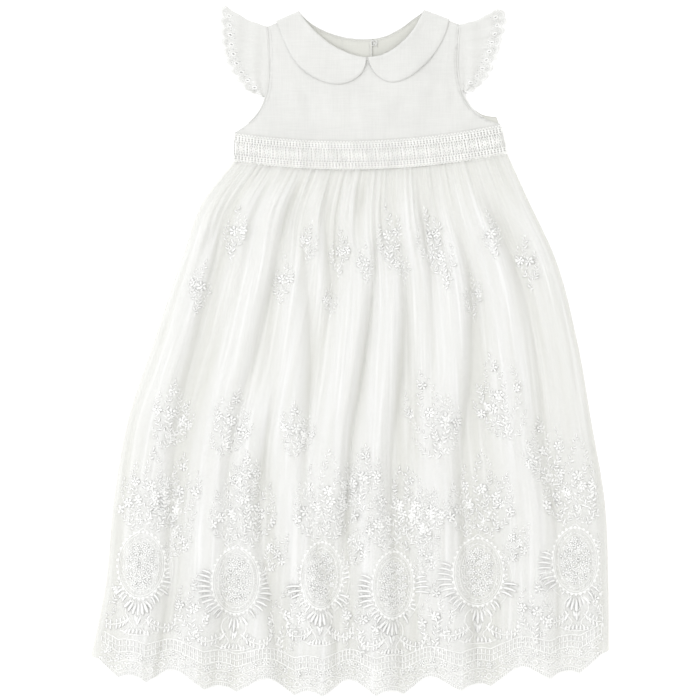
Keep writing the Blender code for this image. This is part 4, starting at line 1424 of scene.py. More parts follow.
def medallion(work, x, y, wide, tall, turn):
    """An oval band round a full flower, with fronds at its sides and a footed vase and scrolls below."""
    def at(points):
        return turned(np.atleast_2d(points) * (wide, tall), x, y, turn)

    def crowned(rx, ry, peak, count):
        a = circle(count) + math.pi / 2
        off_top = np.abs((a - math.pi / 2 + math.pi) % (2 * math.pi) - math.pi)
        lift = peak * np.clip(1 - off_top / 0.42, 0.0, 1.0) ** 1.6
        return at(np.column_stack([rx * np.cos(a), ry * np.sin(a) + lift]))

    work.thread(crowned(22.6, 31.0, 4.2, 84), 1.5, closed=True)
    work.thread(crowned(21.0, 29.2, 3.4, 80), 1.0, closed=True)
    work.thread(crowned(17.2, 25.4, 1.2, 66), 1.2, closed=True)
    for k in range(34):
        a = 2 * math.pi * (k + 0.5) / 34
        (px, py), = at([(23.4 * math.cos(a), 31.8 * math.sin(a))])
        work.part("dot", px, py, 0.0, 3.2, 3.2, 0.5)
        (px, py), = at([(19.1 * math.cos(a), 27.3 * math.sin(a))])
        work.part("leaf", px, py, turn + a + 2.2, 2.8, 1.5, 0.4)
    for k in range(7):
        share = (k + 1) / 7
        a = circle(10 + 6 * k)
        ring = np.column_stack([15.2 * share * np.cos(a), 23.4 * share * np.sin(a)])
        work.thread(at(ring), 2.6, True, -0.95)
    for count, share, size in FLOWER_ROWS:
        for k in range(count):
            a = 2 * math.pi * (k + share) / count
            (px, py), = at([(13.6 * share * math.cos(a), 21.6 * share * math.sin(a))])
            flower(work, px, py, size * (0.92 + 0.16 * ((k * GOLDEN_SHARE) % 1.0)), turn + 2 * a, 5 + k % 2)

    for side in (-1, 1):
        kind = "frond" if side < 0 else "mirrored frond"
        for k in range(FRONDS):
            a = math.radians(10 - 7.2 * k)
            (px, py), = at([(side * 24.4 * math.cos(a), 32.8 * math.sin(a))])
            out = a + 0.48
            local = math.pi - out if side < 0 else out
            length = 8.5 + 5.5 * math.sin(math.pi * min(1.0, (k + 1.5) / 9.5))
            work.part(kind, px, py, turn + local, length, 3.0, 0.38)
        mirrored = np.array((side, 1))
        work.thread(at(smooth_line(np.array(SPINE) * mirrored, 20)), 0.9)
        curve = smooth_line(np.array(SCROLL) * mirrored, 20)
        work.thread(at(curve), np.linspace(2.2, 1.2, 21))
        for k in range(9):
            (px, py), = at([curve[int(20 * (k + 0.5) / 9)]])
            lean = side * (0.55 - 0.14 * k)
            work.part("leaf", px, py, turn - math.pi / 2 + lean, 6.8 - 0.3 * k, 3.2, 0.5)
            work.part("leaf", px, py, turn + math.pi / 2 - lean, 6.0 - 0.2 * k, 2.8, 0.5)
        work.thread(at(smooth_line(np.array(VASE_SIDE) * mirrored, 18)), 1.6)
    for k in range(7):
        (px, py), = at([(1.9 * (k - 3), -33.4 + 0.22 * (k - 3) ** 2)])
        work.part("petal", px, py, turn + math.radians(-90 + 13 * (k - 3)), 15.5 - 0.9 * abs(k - 3), 4.4, 0.6)
    for k in range(5):
        (px, py), = at([(1.9 * (k - 2), -47.0 + 0.3 * (k - 2) ** 2)])
        work.part("petal", px, py, turn + math.radians(-90 - 9 * (k - 2)), 10.0, 3.6, 0.6)
    for k in range(7):
        (px, py), = at([(3.3 * (k - 3), -59.0 - 0.12 * (k - 3) ** 2)])
        work.part("petal", px, py, turn - math.pi / 2 + 0.09 * (k - 3), 6.4, 3.6, 0.55)
    foot = [(-17.0, -62.5), (-9.0, -65.4), (0.0, -66.2), (9.0, -65.4), (17.0, -62.5)]
    work.thread(at(smooth_line(foot, 16)), 1.5)


def hem_place(repeat, up):
    """A place along the scalloped hem, up millimetres above its edge."""
    repeat = np.asarray(repeat, float)
    u = across(repeat)
    x, y = skirt_place(u, np.ones_like(u))
    drop = scallop_drop(repeat)
    share = np.clip(1 - np.asarray(up, float) / 60.0, 0.25, 1.0)
    return np.column_stack([x, y - drop * share + up])


HEM_EDGE_STITCHES = 44
HEM_LADDER_BARS = 23
HEM_EYELETS = 8


def hem_border(work, lower, upper):
    """Edge cord, buttonhole stitches, eyelets and a ladder of two rows along the hem."""
    span = upper - lower
    steps = np.linspace(lower, upper, int(span * 52) + 1)
    for up, thick in ((0.6, 2.3), (4.0, 1.2), (12.6, 1.1), (19.6, 1.8), (24.4, 1.3), (29.2, 1.8)):
        work.thread(hem_place(steps, up), thick)
    for repeat in spread(lower, upper, HEM_EDGE_STITCHES):
        here = hem_place([repeat, repeat], [0.5, 1.5])
        work.part("bar", here[0, 0], here[0, 1], math.pi / 2, 3.4, 1.3, 0.5)
    for up in (19.6, 24.4):
        for repeat in spread(lower, upper, HEM_LADDER_BARS):
            (px, py), = hem_place([repeat], [up])
            work.part("bar", px, py, math.pi / 2, 4.8, 1.9, 0.55)
    half_step = 0.5 / HEM_EYELETS
    for k, repeat in enumerate(spread(lower, upper, HEM_EYELETS)):
        between = min(upper, repeat + half_step)
        (px, py), = hem_place([repeat], [8.2])
        work.part("ring", px, py, 0.0, 4.8, 4.8, 1.5)
        for up, way in ((5.4, 0.5), (5.4, 2.64), (11.2, -0.5), (11.2, 3.64)):
            (px, py), = hem_place([between], [up])
            work.part("leaf", px, py, way, 3.6, 2.2, 0.5)
        (px, py), = hem_place([repeat], [16.2])
        flower(work, px, py, 6.0, k * 0.7, 6)
        (px, py), = hem_place([between], [16.2])
        work.part("ring", px, py, 0.0, 3.2, 3.2, 1.2)


def spread(lower, upper, each):
    """Evenly spaced counts of repeats between two, so many to each repeat."""
    count = int((upper - lower) * each)
    return lower + (upper - lower) * (np.arange(count) + 0.5) / count


def on_skirt(x, y):
    """Whether places lie on the flat of the skirt, clear of its rolled sides and its hem's edge."""
    u, v = skirt_uv(x, y)
    return (np.abs(u) < 0.976) & (v > 0.02)


FRONT_RELIEF = 0.58
BACK_RELIEF = 0.55


def all_embroidery(surface, facing, relief):
    """The needlework of one half of the skirt: its hem pieces and its scattered pieces."""
    hem = Needlework(surface, 0.12, facing, on_skirt, relief)
    for x, y, wide, tall in MEDALLIONS:
        turn = skirt_lean(x, y) * 0.8
        medallion(hem, x, y, wide, tall, turn)
    hem_border(hem, 0.02, REPEATS - 0.02)
    for k, (x, y, height, lean) in enumerate(HEM_SPRIGS):
        spray(hem, x, y, height, skirt_lean(x, y) + math.radians(lean), 1 if k % 2 else -1, 4)

    scattered = Needlework(surface, 0.12, facing, on_skirt, relief)
    for k, (x, y, wide, tall) in enumerate(MEDALLIONS):
        turn = skirt_lean(x, y)
        for right, up, height, lean, mirror in MEDALLION_SPRAYS:
            (px, py), = turned([(right * wide, up * tall)], x, y, turn)
            spray(scattered, px, py, height * (0.94 + 0.05 * (k % 3)), turn + math.radians(lean), mirror, 3)
    for x, y, height, lean, mirror in BOUQUETS:
        turn = skirt_lean(x, y) + math.radians(lean)
        spray(scattered, x, y, height, turn, mirror, 4)
        spray(scattered, x + 4 * mirror, y + 6, height * 0.66, turn - 0.34 * mirror, -mirror, 2)
    for k, (x, y, height, lean) in enumerate(SPRIGS):
        turn = skirt_lean(x, y) + math.radians(lean) * 0.3
        tall = height * (1.4 + 0.3 * ((k * GOLDEN_SHARE) % 1.0))
        spray(scattered, x, y - 0.25 * height, tall, turn, 1 if k % 2 else -1, 2, 3, 0.75)
    return hem, scattered


class GOWN_OT_embroidery(bpy.types.Operator):
    """Embroider the medallions, sprays and hem of the skirt"""

    bl_idname = "gown.embroidery"
    bl_label = "Embroidery"

    def execute(self, context):
        cloth, _, _ = settings()
        made = []
        for side, surface, facing, relief in (
            ("front", net_surface, 1.0, FRONT_RELIEF),
            ("back", level(BACK_LACE_Z), -1.0, BACK_RELIEF),
        ):
            hem, scattered = all_embroidery(surface, facing, relief)
            made.append(hem.grow(f"hem_lace_{side}", finish_for("embroidery"), cloth.satin))
            made.append(scattered.grow(f"sprays_{side}", finish_for("embroidery"), cloth.satin))
        for item in made:
            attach(item, "root")
        return {"FINISHED"}


# Bodice


class GOWN_OT_bodice(bpy.types.Operator):
    """Make the bodice's front and its two lapped backs"""

    bl_idname = "gown.bodice"
    bl_label = "Bodice"

    def execute(self, context):
        waist, neck = waist_line(60), stepped(NECK_BACK, 3.0)
        outline = np.concatenate([
            waist, stepped(ARMHOLE_RIGHT, 3.0)[::-1], stepped(NECK_FRONT, 3.0)[::-1],
            stepped(ARMHOLE_LEFT, 3.0)[:-1], [BAND_TOP_LEFT],
        ])
        self.panel("bodice_front", outline, bodice_front_z, 0.28, 0.16,
                   ["bodice_back_left", "bodice_back_right"])
        left = np.concatenate([
            self.side(waist, LAP_EDGE, True), self.side(neck[::-1], LAP_EDGE, True),
            stepped(ARMHOLE_LEFT, 3.0),
        ])
        self.panel("bodice_back_left", left, lambda x, y: BODICE_BACK_Z + lap_rise(x), 0.15, 0.16,
                   ["bodice_back_right", "waistband_back"])
        arm = stepped((SHOULDER_RIGHT, (102.9, 290.0), (103.0, 262.0), *UNDERARM_PEAK), 3.0)
        right = np.concatenate([
            self.side(waist, LAP_UNDER_EDGE, False), arm[::-1], self.side(neck[::-1], LAP_UNDER_EDGE, False),
        ])
        self.panel("bodice_back_right", right, level(BODICE_BACK_Z), 0.15, 0.16, ["waistband_back"])
        return {"FINISHED"}

    def side(self, points, edge_x, keep_left):
        line = np.array(points, float)
        order = np.argsort(line[:, 0])
        crossing = (edge_x, float(np.interp(edge_x, line[order, 0], line[order, 1])))
        kept = [tuple(p) for p in line if (p[0] < edge_x) == keep_left]
        return kept + [crossing] if (line[0, 0] < line[-1, 0]) == keep_left else [crossing] + kept

    def panel(self, node, outline, surface, width, length, rests_on):
        flat, faces = cut_cloth(outline, 3.4)
        x, y = flat.T
        crumple = BODICE_CRUMPLE * unevenness(x, y, 11.0, 15.0, 5.5)
        points = np.column_stack([x, y, surface(x, y) + crumple])
        made = piece(f"{node}_cloth", points, faces, finish_for("cotton"))
        cloth_map(made, flat)
        thicken(made, BODICE_WALL)
        # The backs' upward faces, seen through the neck, take the darker, warmer cotton: painted shade inside
        # the neck.
        if node != "bodice_front":
            made.data.materials.append(finish_for("inside"))
            for face in made.data.polygons:
                face.material_index = 1 if face.normal.z > 0.5 else 0
        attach(made, "root")
        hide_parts(node)
        cut_sheet(made, width, length, 2)


FOLD_ANGLES = (22, 45, 67, 90, 113, 135, 158)


def turned_over(front, back, outward):
    """Two edges that face each other, joined by a rounded fold that bulges along outward."""
    front, back = np.array(front), np.array(back)
    middle, radius = (front + back) / 2, np.linalg.norm(front - back, axis=1, keepdims=True) / 2
    up = (front - back) / (2 * radius)
    way = np.array([*outward, 0.0]) / np.linalg.norm(outward)
    return [middle + up * radius * math.cos(a) + way * radius * math.sin(a) for a in np.radians(FOLD_ANGLES)]


def ridge(shares, at, width):
    """A soft ridge of height 1 across the shares."""
    return np.exp(-((shares - at) / width) ** 2)


class GOWN_OT_collar(bpy.types.Operator):
    """Make the two halves of the round collar"""

    bl_idname = "gown.collar"
    bl_label = "Collar"

    def execute(self, context):
        for side, front, back in (
            ("left", COLLAR_FRONT_LEFT, COLLAR_BACK_LEFT),
            ("right", COLLAR_FRONT_RIGHT, COLLAR_BACK_RIGHT),
        ):
            self.half(f"collar_{side}", front, back)
        return {"FINISHED"}

    def half(self, node, front_rulings, back_rulings):
        front = smooth_line(front_rulings, 72)
        back = smooth_line(back_rulings, 40)
        shares = np.linspace(0.0, 1.0, 19)
        neck_roll = 0.9 * ridge(shares, 0.07, 0.06)
        edge_bead = 0.45 * ridge(shares, 0.975, 0.02) - 0.35 * ridge(shares, 0.925, 0.02)
        columns = []
        for k, (nx, ny, ox, oy) in enumerate(front):
            x, y = nx + (ox - nx) * shares, ny + (oy - ny) * shares
            lift = COLLAR_LIFT * ease(SHOULDER_Y - ny, 0.0, 20.0)
            ends = min(1.0, k / 4, (len(front) - 1 - k) / 4)
            z = bodice_loft_z(x, y) + bodice_swell(x, y) + ON_BODICE + lift * shares**2
            z = z + (neck_roll + edge_bead) * ends
            z = z + 0.35 * np.sin(k * 0.16 + 1.0) * shares * ends
            z = z - (0.75 + 0.75 * lift) * ease(shares, 0.90, 1.0) * ends
            columns.append(np.column_stack([x, y, z]))
        back_columns = []
        for nx, ny, ox, oy in back:
            x, y = nx + (ox - nx) * shares, ny + (oy - ny) * shares
            back_columns.append(np.column_stack([x, y, np.full_like(x, COLLAR_BACK_Z)]))
        shoulder = front[-1, :2] - front[-1, 2:]
        outward = np.array([-shoulder[1], shoulder[0]]) * math.copysign(1.0, shoulder[0])
        fold = turned_over(columns[-1], back_columns[0], outward)
        grid = np.stack(columns + fold + back_columns, axis=1)
        run = np.concatenate([[0.0], np.cumsum(np.linalg.norm(np.diff(grid[9], axis=0), axis=1))])
        places = np.stack(np.meshgrid(run, shares * -42.0), axis=-1)
        made = grid_piece(f"{node}_cloth", grid, places, finish_for("cotton"), flip=node.endswith("left"))
        thicken(made, COLLAR_WALL)
        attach(made, "root")
        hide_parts(node)
        cut_sheet(made, 0.20, 0.05, 2)


# Sleeves


def armhole_seam(armhole, starts, count):
    line = stepped(armhole, 2.0)[::-1]
    out = math.copysign(SEAM_GAP, armhole[0][0] - BODICE_MIDDLE)
    ys = np.linspace(starts, armhole[0][1] - SEAM_GAP, count + 1)
    return np.column_stack([np.interp(ys, line[:, 1], line[:, 0]) + out, ys])


class SleeveForm:
    """The sleeve's surface: along the seam, over the shoulder fold to the back, and out to the edge."""

    COLUMNS = 120
    SHARES = np.linspace(0.0, 1.0, 25)

    def __init__(self, armhole, starts, edge_points):
        seam = armhole_seam(armhole, starts, self.COLUMNS)
        edge = smooth_line(edge_points, self.COLUMNS)
        top = edge[-1] - seam[-1]
        upward = np.array([-top[1], top[0]]) / np.linalg.norm(top)
        upward *= math.copysign(1.0, upward[1])
        front, back = [], []
        t = self.SHARES
        for k in range(self.COLUMNS + 1):
            along = k / self.COLUMNS
            ruling = edge[k] - seam[k]
            scallop = abs(math.sin(math.pi * SLEEVE_SCALLOPS * along)) ** 0.6
            bump = SLEEVE_SCALLOP_DEPTH * (scallop * 1.25 - 0.15)
            reach = bump / max(np.linalg.norm(ruling), 12.0)
            wave = SLEEVE_WAVE_HEIGHT * math.cos(2 * math.pi * SLEEVE_WAVES * along)
            wave *= float(ease(1 - along, 0.0, 0.1))
            wave += 0.35 * math.cos(2 * math.pi * 13 * along + 0.7)
            drape = 0.85 * np.sin(2 * math.pi * (2.3 * t + 0.8 * along)) * np.clip(6 * t * (1 - t), 0.0, 1.0)
            dip = SLEEVE_TOP_DIP * along**3 * 4 * t * (1 - t)
            plan = seam[k] + np.outer(t * (1 + reach * t), ruling) - np.outer(dip, upward)
            front_z = SLEEVE_SEAM_FRONT_Z + (SLEEVE_EDGE_FRONT_Z - SLEEVE_SEAM_FRONT_Z) * t + wave * t + drape
            back_z = SLEEVE_SEAM_BACK_Z - (SLEEVE_SEAM_BACK_Z - 0.8) * ease(t, 0.0, 0.4)
            front.append(np.column_stack([plan, front_z]))
            back.append(np.column_stack([plan, back_z]))
        self.fold = turned_over(front[-1], back[-1], upward)
        self.front, self.back = front, back
        self.columns = front + self.fold + back[::-1]
        self.grid = np.stack(self.columns, axis=0)
        self.lengths = np.linalg.norm(edge - seam, axis=1)

    def place(self, column, share):
        """Points at a column number and a share from the seam to the edge."""
        column = np.clip(np.asarray(column, float), 0, len(self.columns) - 1.001)
        share = np.clip(np.asarray(share, float), 0.0, 1.0) * (len(self.SHARES) - 1)
        c, s = column.astype(int), np.minimum(share.astype(int), len(self.SHARES) - 2)
        fc, fs = (column - c)[..., None], (share - s)[..., None]
        g = self.grid
        near = g[c, s] * (1 - fs) + g[c, s + 1] * fs
        far = g[c + 1, s] * (1 - fs) + g[c + 1, s + 1] * fs
        return near * (1 - fc) + far * fc

    def reach(self, column):
        """Length from the seam to the edge at a column number."""
        count = self.COLUMNS
        column = float(column)
        if column > count + len(FOLD_ANGLES):
            column = 2 * count + len(FOLD_ANGLES) + 1 - column
        return float(np.interp(column, range(count + 1), self.lengths))

    def full_reach(self, column):
        """Length from the seam to the tip of a scallop at a column number."""
        return self.reach(column) + SLEEVE_EDGE_REACH


EYELETS_PER_SCALLOP = (
    # share of the scallop along the edge, distance in from the edge, radius
    (0.22, 5.6, 0.75),
    (0.50, 5.0, 0.80),
    (0.78, 5.6, 0.75),
    (0.50, 9.4, 1.45),
    (0.02, 8.6, 0.95),
    (0.26, 12.8, 0.80),
    (0.76, 12.8, 0.80),
)


class GOWN_OT_sleeves(bpy.types.Operator):
    """Make the flutter sleeves with their eyelet edges"""

    bl_idname = "gown.sleeves"
    bl_label = "Sleeves"

    def execute(self, context):
        for side, armhole, starts, edge in (
            ("left", ARMHOLE_LEFT, SLEEVE_LEFT_STARTS, SLEEVE_LEFT_EDGE),
            ("right", ARMHOLE_RIGHT, SLEEVE_RIGHT_STARTS, SLEEVE_RIGHT_EDGE),
        ):
            self.sleeve(side, SleeveForm(armhole, starts, edge))
        return {"FINISHED"}

    def eyelets(self, form):
        """Column, distance from the edge and radius of every eyelet, front and back."""
        step = form.COLUMNS / SLEEVE_SCALLOPS
        found = []
        for layer in (0, 1):
            start = layer * (form.COLUMNS + len(FOLD_ANGLES) + 1)
            for k in range(SLEEVE_SCALLOPS):
                for shift, inset, radius in EYELETS_PER_SCALLOP:
                    column = start + (k + shift) * step
                    if 0.6 < column - start < form.COLUMNS - 0.6 and form.reach(column) > inset + 4.5:
                        found.append((column, inset, radius))
        return found

    def sleeve(self, side, form):
        last = len(form.columns) - 1
        mm_column = SLEEVE_FLAT_WIDTH / form.COLUMNS
        holes, rings = [], []
        for column, inset, radius in self.eyelets(form):
            reach = form.full_reach(column)
            share = 1 - inset / reach
            angles = circle(10)
            holes.append([((column + radius / mm_column * math.cos(a)) * mm_column,
                           (share + radius / reach * math.sin(a)) * SLEEVE_FLAT_DEPTH) for a in angles])
            rings.append((column, share, radius, reach))
        outline = [(c * mm_column, 0.0) for c in range(0, last + 1, 2)]
        outline += [(last * mm_column, SLEEVE_FLAT_DEPTH * t) for t in SLEEVE_END_SHARES]
        outline += [(c * mm_column, SLEEVE_FLAT_DEPTH) for c in range(last, -1, -1)]
        outline += [(0.0, SLEEVE_FLAT_DEPTH * t) for t in SLEEVE_END_SHARES[::-1]]
        flat, faces = cut_cloth(outline, 1.8, holes)
        points = form.place(flat[:, 0] / mm_column, flat[:, 1] / SLEEVE_FLAT_DEPTH)
        if side == "right":
            faces = faces[:, ::-1]
        made = piece(f"sleeve_{side}_cloth", points, faces, finish_for("eyelet"))
        cloth_map(made, flat)
        thicken(made, SLEEVE_WALL)
        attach(made, "root")
        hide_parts(f"sleeve_{side}")

        work = Needlework(level(0.0))
        for column, share, radius, reach in rings:
            angles = circle(12)
            around = form.place(column + (radius + 0.25) / mm_column * np.cos(angles),
                                share + (radius + 0.25) / reach * np.sin(angles))
            work.thread(around, 1.9 if radius > 1.3 else 1.1, closed=True)
        columns = np.arange(0, last + 0.01, 0.5)
        work.thread(form.place(columns, np.full_like(columns, 0.995)), 1.5)
        for column in np.arange(0.4, last, 1.6):
            reach = form.full_reach(column)
            inner = form.place([column], [1 - min(0.6, 3.6 / reach)])[0]
            outer = form.place([column], [0.99])[0]
            work.thread(np.array([inner, (inner + outer) / 2, outer]), [0.7, 1.5, 1.3])
        for inset in (7.2, 15.2):
            line = []
            for column in np.arange(0, last, 1.0):
                reach = form.full_reach(column)
                if reach > inset + 5:
                    line.append(form.place([column], [1 - inset / reach])[0])
                elif len(line) > 3:
                    work.thread(np.array(line), 0.6)
                    line = []
            if len(line) > 3:
                work.thread(np.array(line), 0.6)
        for row, inset in enumerate(np.arange(17.5, 34.0, 4.4)):
            for column in np.arange(2.0 + 2.2 * (row % 2), last - 1.0, 4.6):
                reach = form.full_reach(column)
                if reach < inset + 2.5:
                    continue
                share = 1 - inset / reach
                for way in (0.4, 0.4 + math.pi / 2):
                    ends = np.array([-0.8, 0.0, 0.8])
                    work.thread(form.place(column + ends * math.cos(way) / mm_column,
                                           share + ends * math.sin(way) / reach), (0.5, 0.85, 0.5))
        lace = work.grow(f"sleeve_{side}_eyelet_stitching", finish_for("embroidery"), 0.0004)
        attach(lace, "root")
        cut_sheet(made, 0.26, 0.05, 2)


# Waistband


BAND_UNITS = 21
BAND_CHAINS = (
    # share of the band's height, thickness
    (0.03, 1.5),
    (0.185, 1.35),
    (0.715, 1.35),
    (0.87, 1.35),
)
BARS_PER_UNIT = 4


class GOWN_OT_waistband(bpy.types.Operator):
    """Crochet the waistband, front and back"""

    bl_idname = "gown.waistband"
    bl_label = "Waistband"

    def execute(self, context):
        for side in ("front", "back"):
            made, edging = self.lace(side)
            for item in (made, edging):
                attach(item, "root")
            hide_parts(f"waistband_{side}")
            cut_sheet(made, 0.27, 0.03, 2)
        return {"FINISHED"}

    def lace(self, side):
        cloth, _, _ = settings()
        if side == "front":
            def surface(x, y):
                return bodice_loft_z(x, y) + ON_BODICE - 0.1
            facing, relief = 1.0, 1.0
        else:
            surface = level(BAND_BACK_Z + 0.15)
            facing, relief = -1.0, 0.7
        work = Needlework(surface, 0.0, facing, relief=relief)
        loops = Needlework(surface, 0.0, facing, relief=relief)

        def at(s, t):
            s, t = np.broadcast_arrays(np.atleast_1d(s), np.atleast_1d(t))
            return np.column_stack(band_place(s / BAND_UNITS, t))

        whole = np.linspace(0, BAND_UNITS, BAND_UNITS * 12 + 1)
        for share, thick in BAND_CHAINS:
            ripple = share + 0.010 * np.sin(whole * 2 * math.pi * 3)
            work.thread(at(whole, ripple), thick * (1 + 0.22 * np.cos(whole * 2 * math.pi * 6)))
        levels = [row[0] for row in BAND_CHAINS]
        for low, high in (levels[:2], levels[2:]):
            for k in range(BAND_UNITS * BARS_PER_UNIT + 1):
                s = k / BARS_PER_UNIT
                work.thread(at([s] * 4, np.linspace(low, high, 4)), (1.6, 1.9, 1.9, 1.6))
            work.thread(at(whole, (low + high) / 2), 0.95)
        arc = np.linspace(0, math.pi, 7)
        for k in range(BAND_UNITS * BARS_PER_UNIT):
            s = (k + 0.5) / BARS_PER_UNIT
            loops.thread(at(s - 0.085 * np.cos(arc), 0.885 + 0.085 * np.sin(arc)), 1.15)
            if side == "front":
                loops.thread(at(s - 0.085 * np.cos(arc), 0.02 - 0.075 * np.sin(arc)), 1.15, rise=0.7)
        low, high = levels[1:3]
        middle = (low + high) / 2
        for k in range(BAND_UNITS):
            self.motif(work, at, k + 0.5, low, middle, high)
            for shift in (0.115, -0.115):
                s = k + shift
                if 0 <= s <= BAND_UNITS:
                    work.thread(at([s] * 6, np.linspace(low, high, 6)), (1.5, 1.7, 1.9, 1.9, 1.7, 1.5))
            for share in (0.2, 0.4, 0.6, 0.8):
                t = low + (high - low) * share
                work.thread(at([max(0.0, k - 0.115), k + 0.115], [t, t]), 1.2)
        for edge in (0.0, 1.0):
            x, y = np.column_stack(band_place(np.full(9, edge), np.linspace(0.02, 0.9, 9))).T
            shift = BAND_OVERHANG * (1 if edge else -1)
            if side == "front":
                for z in (surface(x, y) - 0.2, np.full_like(x, 2.3)):
                    work.thread(np.column_stack([x + shift, y, z]), 1.2)
                for px, py, pz in zip(x, y, surface(x, y)):
                    over = [(px, py, pz), (px + shift, py, pz - 0.4), (px + shift, py, 2.2)]
                    work.thread(np.array(over), 1.0)
        edging = loops.grow(f"waistband_{side}_edging", finish_for("crochet"), cloth.thread)
        return work.grow(f"waistband_{side}_crochet", finish_for("crochet"), cloth.thread), edging

    def motif(self, work, at, s, low, middle, high):
        """A round flower of eight petals, tied to the chains above and below it."""
        for k in range(8):
            angle = 2 * math.pi * (k + 0.5) / 8
            a, b = math.cos(angle), math.sin(angle)
            ring = circle(8)
            petal_s = s + 0.195 * a + 0.088 * np.cos(ring)
            petal_t = middle + 0.128 * b + 0.060 * np.sin(ring)
            work.thread(at(petal_s, petal_t), 1.15, closed=True)
        ring = circle(10)
        work.thread(at(s + 0.075 * np.cos(ring), middle + 0.048 * np.sin(ring)), 1.5, closed=True)
        for side in (-1, 1):
            for t, end in ((low, middle - 0.12), (high, middle + 0.12)):
                work.thread(at([s + side * 0.17, s + side * 0.30], [t, end]), 1.2)
            work.thread(at([s + side * 0.385, s + side * 0.27], [middle, middle]), 1.2)
        for t, end in ((low, middle - 0.165), (high, middle + 0.165)):
            work.thread(at([s, s], [t, end]), 1.3)


# Seams, stitches and the back closing


class GOWN_OT_seams(bpy.types.Operator):
    """Sew the seams, edges, placket and thread loop"""

    bl_idname = "gown.seams"
    bl_label = "Seams"

    def execute(self, context):
        work = Needlework(bodice_front_z, 0.45)
        for armhole, outward in ((ARMHOLE_LEFT, -1), (ARMHOLE_RIGHT, 1)):
            line = stepped(armhole, 2.0)
            seam = line[: int(len(line) * 0.86)] + (outward * 0.2, 0.0)
            work.thread(seam, 2.0, rise=-0.1)
            self.running(work, line[1: int(len(line) * 0.97)] - (outward * 3.2, 0.0))
        self.running(work, stepped(NECK_FRONT, 2.0) - (0.0, 3.0))
        waist = np.column_stack(band_place(np.linspace(0, 1, 130), np.full(130, 1.03)))
        self.running(work, waist)
        made = work.grow("bodice_seam_stitches", finish_for("stitch"), 0.00034)
        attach(made, "root")

        back = Needlework(self.back_z, 0.5)
        edge_y = np.linspace(186.0, 296.0, 40)
        back.thread(np.column_stack([np.full_like(edge_y, LAP_EDGE - 0.6), edge_y]), 1.1)
        for x, low, high in ((-6.8, 180.0, 296.6), (LAP_EDGE - 2.4, 186.0, 295.2)):
            self.running(back, np.column_stack([np.full(60, x), np.linspace(low, high, 60)]))
        neck = stepped(NECK_BACK, 2.0) - (0.0, 2.6)
        self.running(back, neck[2:-2])
        back.thread(stepped(NECK_BACK, 2.0) - (0.0, 0.6), 1.5)
        back.thread(smooth_line(NECK_LOOP, 14), 1.5, rise=0.5)
        for ax, ay, bx, by in NECK_LOOP_STITCHES:
            back.thread(np.array([(ax, ay), ((ax + bx) / 2, (ay + by) / 2), (bx, by)]), 1.2, rise=0.35)
        made = back.grow("back_closing_stitches", finish_for("stitch"), 0.00036)
        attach(made, "root")

        waist = Needlework(net_surface, 0.3)
        u = np.linspace(-0.985, 0.985, 420)
        x, y = skirt_place(u, np.full_like(u, 0.004))
        waist.thread(np.column_stack([x, y]), 0.8)
        made = waist.grow("gathering_stitches", finish_for("stitch"), 0.00036)
        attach(made, "root")
        return {"FINISHED"}

    def back_z(self, x, y):
        return BODICE_BACK_Z + np.where(np.asarray(x) <= LAP_EDGE, lap_rise(x), 0.0)

    def running(self, work, line):
        """Running stitches along a line, two millimetres long with a short gap."""
        length = np.linalg.norm(np.diff(line, axis=0), axis=1).sum()
        places = smooth_line(line, max(2, int(length / 2.6)))
        for a, b in zip(places, places[1:]):
            angle = math.atan2(b[1] - a[1], b[0] - a[0])
            work.part("bar", a[0], a[1], angle, 1.9, 0.55, 0.32)


class GOWN_OT_buttons(bpy.types.Operator):
    """Finish the back buttons"""

    bl_idname = "gown.buttons"
    bl_label = "Buttons"

    def execute(self, context):
        for number in (1, 2, 3):
            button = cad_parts[f"button_{number}"]
            button.data.materials.clear()
            button.data.materials.append(finish_for("pearl"))
        work = Needlework(level(0.0), 0.0, -1.0)
        x = LAP_EDGE - LAP_WIDTH / 2
        for y in BUTTON_YS:
            for a, b in ((1.3, 0.0), (0.0, 1.3)):
                work.thread(np.array([(x - a, y - b, 0.4), (x, y, 0.3), (x + a, y + b, 0.4)]), 0.7)
            loop = np.array(BUTTON_LOOP) + (x, y, 0.0)
            work.thread(smooth_line(loop, 12), 1.2)
        made = work.grow("button_threads", finish_for("stitch"), 0.00034)
        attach(made, "root")
        return {"FINISHED"}


# Floor, light and camera, with the floor and sensor in millimetres and places in metres

FLOOR_HALF = 6000
FLOOR_Z = -0.3
FLOOR_GLOW = 0.22
KEY_WIDTH = 2.0
KEY_PLACE = (-1.5, 0.7, 1.75)
SENSOR_WIDTH_MM = 36.0
GOWN_MIDDLE_Z = 0.006


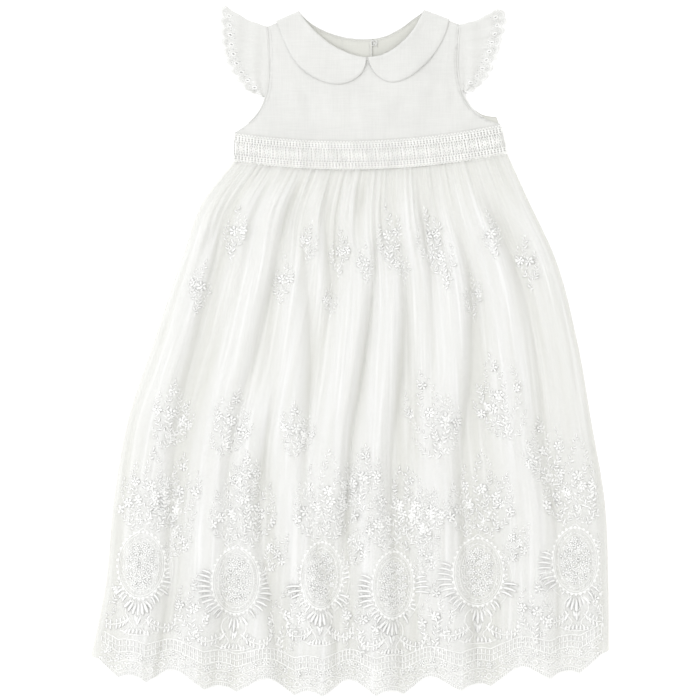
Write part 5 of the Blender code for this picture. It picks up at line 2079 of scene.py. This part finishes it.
class GOWN_OT_stage(bpy.types.Operator):
    """Set the white floor, the soft light and the camera"""

    bl_idname = "gown.stage"
    bl_label = "Stage"

    def execute(self, context):
        _, _, stage = settings()
        scene = bpy.context.scene
        scene.view_settings.view_transform = "Standard"
        scene.view_settings.look = "None"

        shade = Shade("white floor", (0.98, 0.98, 0.98), 0.95)
        shade.give("Specular IOR Level", 0.0)
        grain = shade.noise(shade.place(), 40.0, 2.0)
        shade.tint(grain, (0.975, 0.975, 0.975), (0.985, 0.985, 0.985))
        shade.give("Emission Color", (1.0, 1.0, 1.0, 1.0))
        shade.give("Emission Strength", FLOOR_GLOW)
        corners = [(x * FLOOR_HALF, y * FLOOR_HALF, FLOOR_Z) for x, y in ((-1, -1), (1, -1), (1, 1), (-1, 1))]
        floor = piece("floor", corners, [(0, 1, 2, 3)], shade.material, smooth=False)

        world = bpy.data.worlds.new("even surround")
        scene.world = world
        world.use_nodes = True
        surround = world.node_tree.nodes["Background"]
        surround.inputs["Color"].default_value = (1.0, 1.0, 0.985, 1.0)
        surround.inputs["Strength"].default_value = stage.fill

        key = bpy.data.lights.new("soft key", "AREA")
        key.shape = "DISK"
        key.size = KEY_WIDTH
        key.energy = stage.key
        key.color = (0.97, 0.985, 1.04)
        lamp = bpy.data.objects.new("soft key", key)
        scene.collection.objects.link(lamp)
        lamp.location = KEY_PLACE
        to_gown = -lamp.location
        lamp.rotation_euler = to_gown.to_track_quat("-Z", "Y").to_euler()

        lens = bpy.data.cameras.new("camera")
        lens.lens = stage.lens
        lens.sensor_width = SENSOR_WIDTH_MM
        camera = bpy.data.objects.new("camera", lens)
        scene.collection.objects.link(camera)
        camera.location = (0.0, 0.0, stage.view_width * stage.lens / SENSOR_WIDTH_MM + GOWN_MIDDLE_Z)
        lens.clip_end = 50.0
        scene.camera = camera
        return {"FINISHED"}


class GOWN_PT_panel(bpy.types.Panel):
    """Gown pieces and their sizes"""

    bl_label = "Christening gown"
    bl_idname = "GOWN_PT_panel"
    bl_space_type = "VIEW_3D"
    bl_region_type = "UI"
    bl_category = "Gown"

    def draw(self, context):
        layout = self.layout
        for group in (context.scene.gown_cloth, context.scene.gown_colours, context.scene.gown_stage):
            box = layout.box()
            for key in group.bl_rna.properties.keys():
                if key not in ("rna_type", "name"):
                    box.prop(group, key)
        for step in STEPS:
            layout.operator(step.bl_idname)


STEPS = (
    GOWN_OT_skirt_lining,
    GOWN_OT_skirt_net,
    GOWN_OT_embroidery,
    GOWN_OT_bodice,
    GOWN_OT_collar,
    GOWN_OT_sleeves,
    GOWN_OT_waistband,
    GOWN_OT_seams,
    GOWN_OT_buttons,
    GOWN_OT_stage,
)
CLASSES = (GownCloth, GownColours, GownStage, *STEPS, GOWN_PT_panel)


def register():
    for item in CLASSES:
        bpy.utils.register_class(item)
    bpy.types.Scene.gown_cloth = PointerProperty(type=GownCloth)
    bpy.types.Scene.gown_colours = PointerProperty(type=GownColours)
    bpy.types.Scene.gown_stage = PointerProperty(type=GownStage)


def unregister():
    del bpy.types.Scene.gown_stage
    del bpy.types.Scene.gown_colours
    del bpy.types.Scene.gown_cloth
    for item in reversed(CLASSES):
        bpy.utils.unregister_class(item)


def main():
    register()
    for step in STEPS:
        family, call = step.bl_idname.split(".")
        getattr(getattr(bpy.ops, family), call)()
    for part in PARTS.values():
        bpy.data.objects.remove(part)


if __name__ == "__main__":
    main()
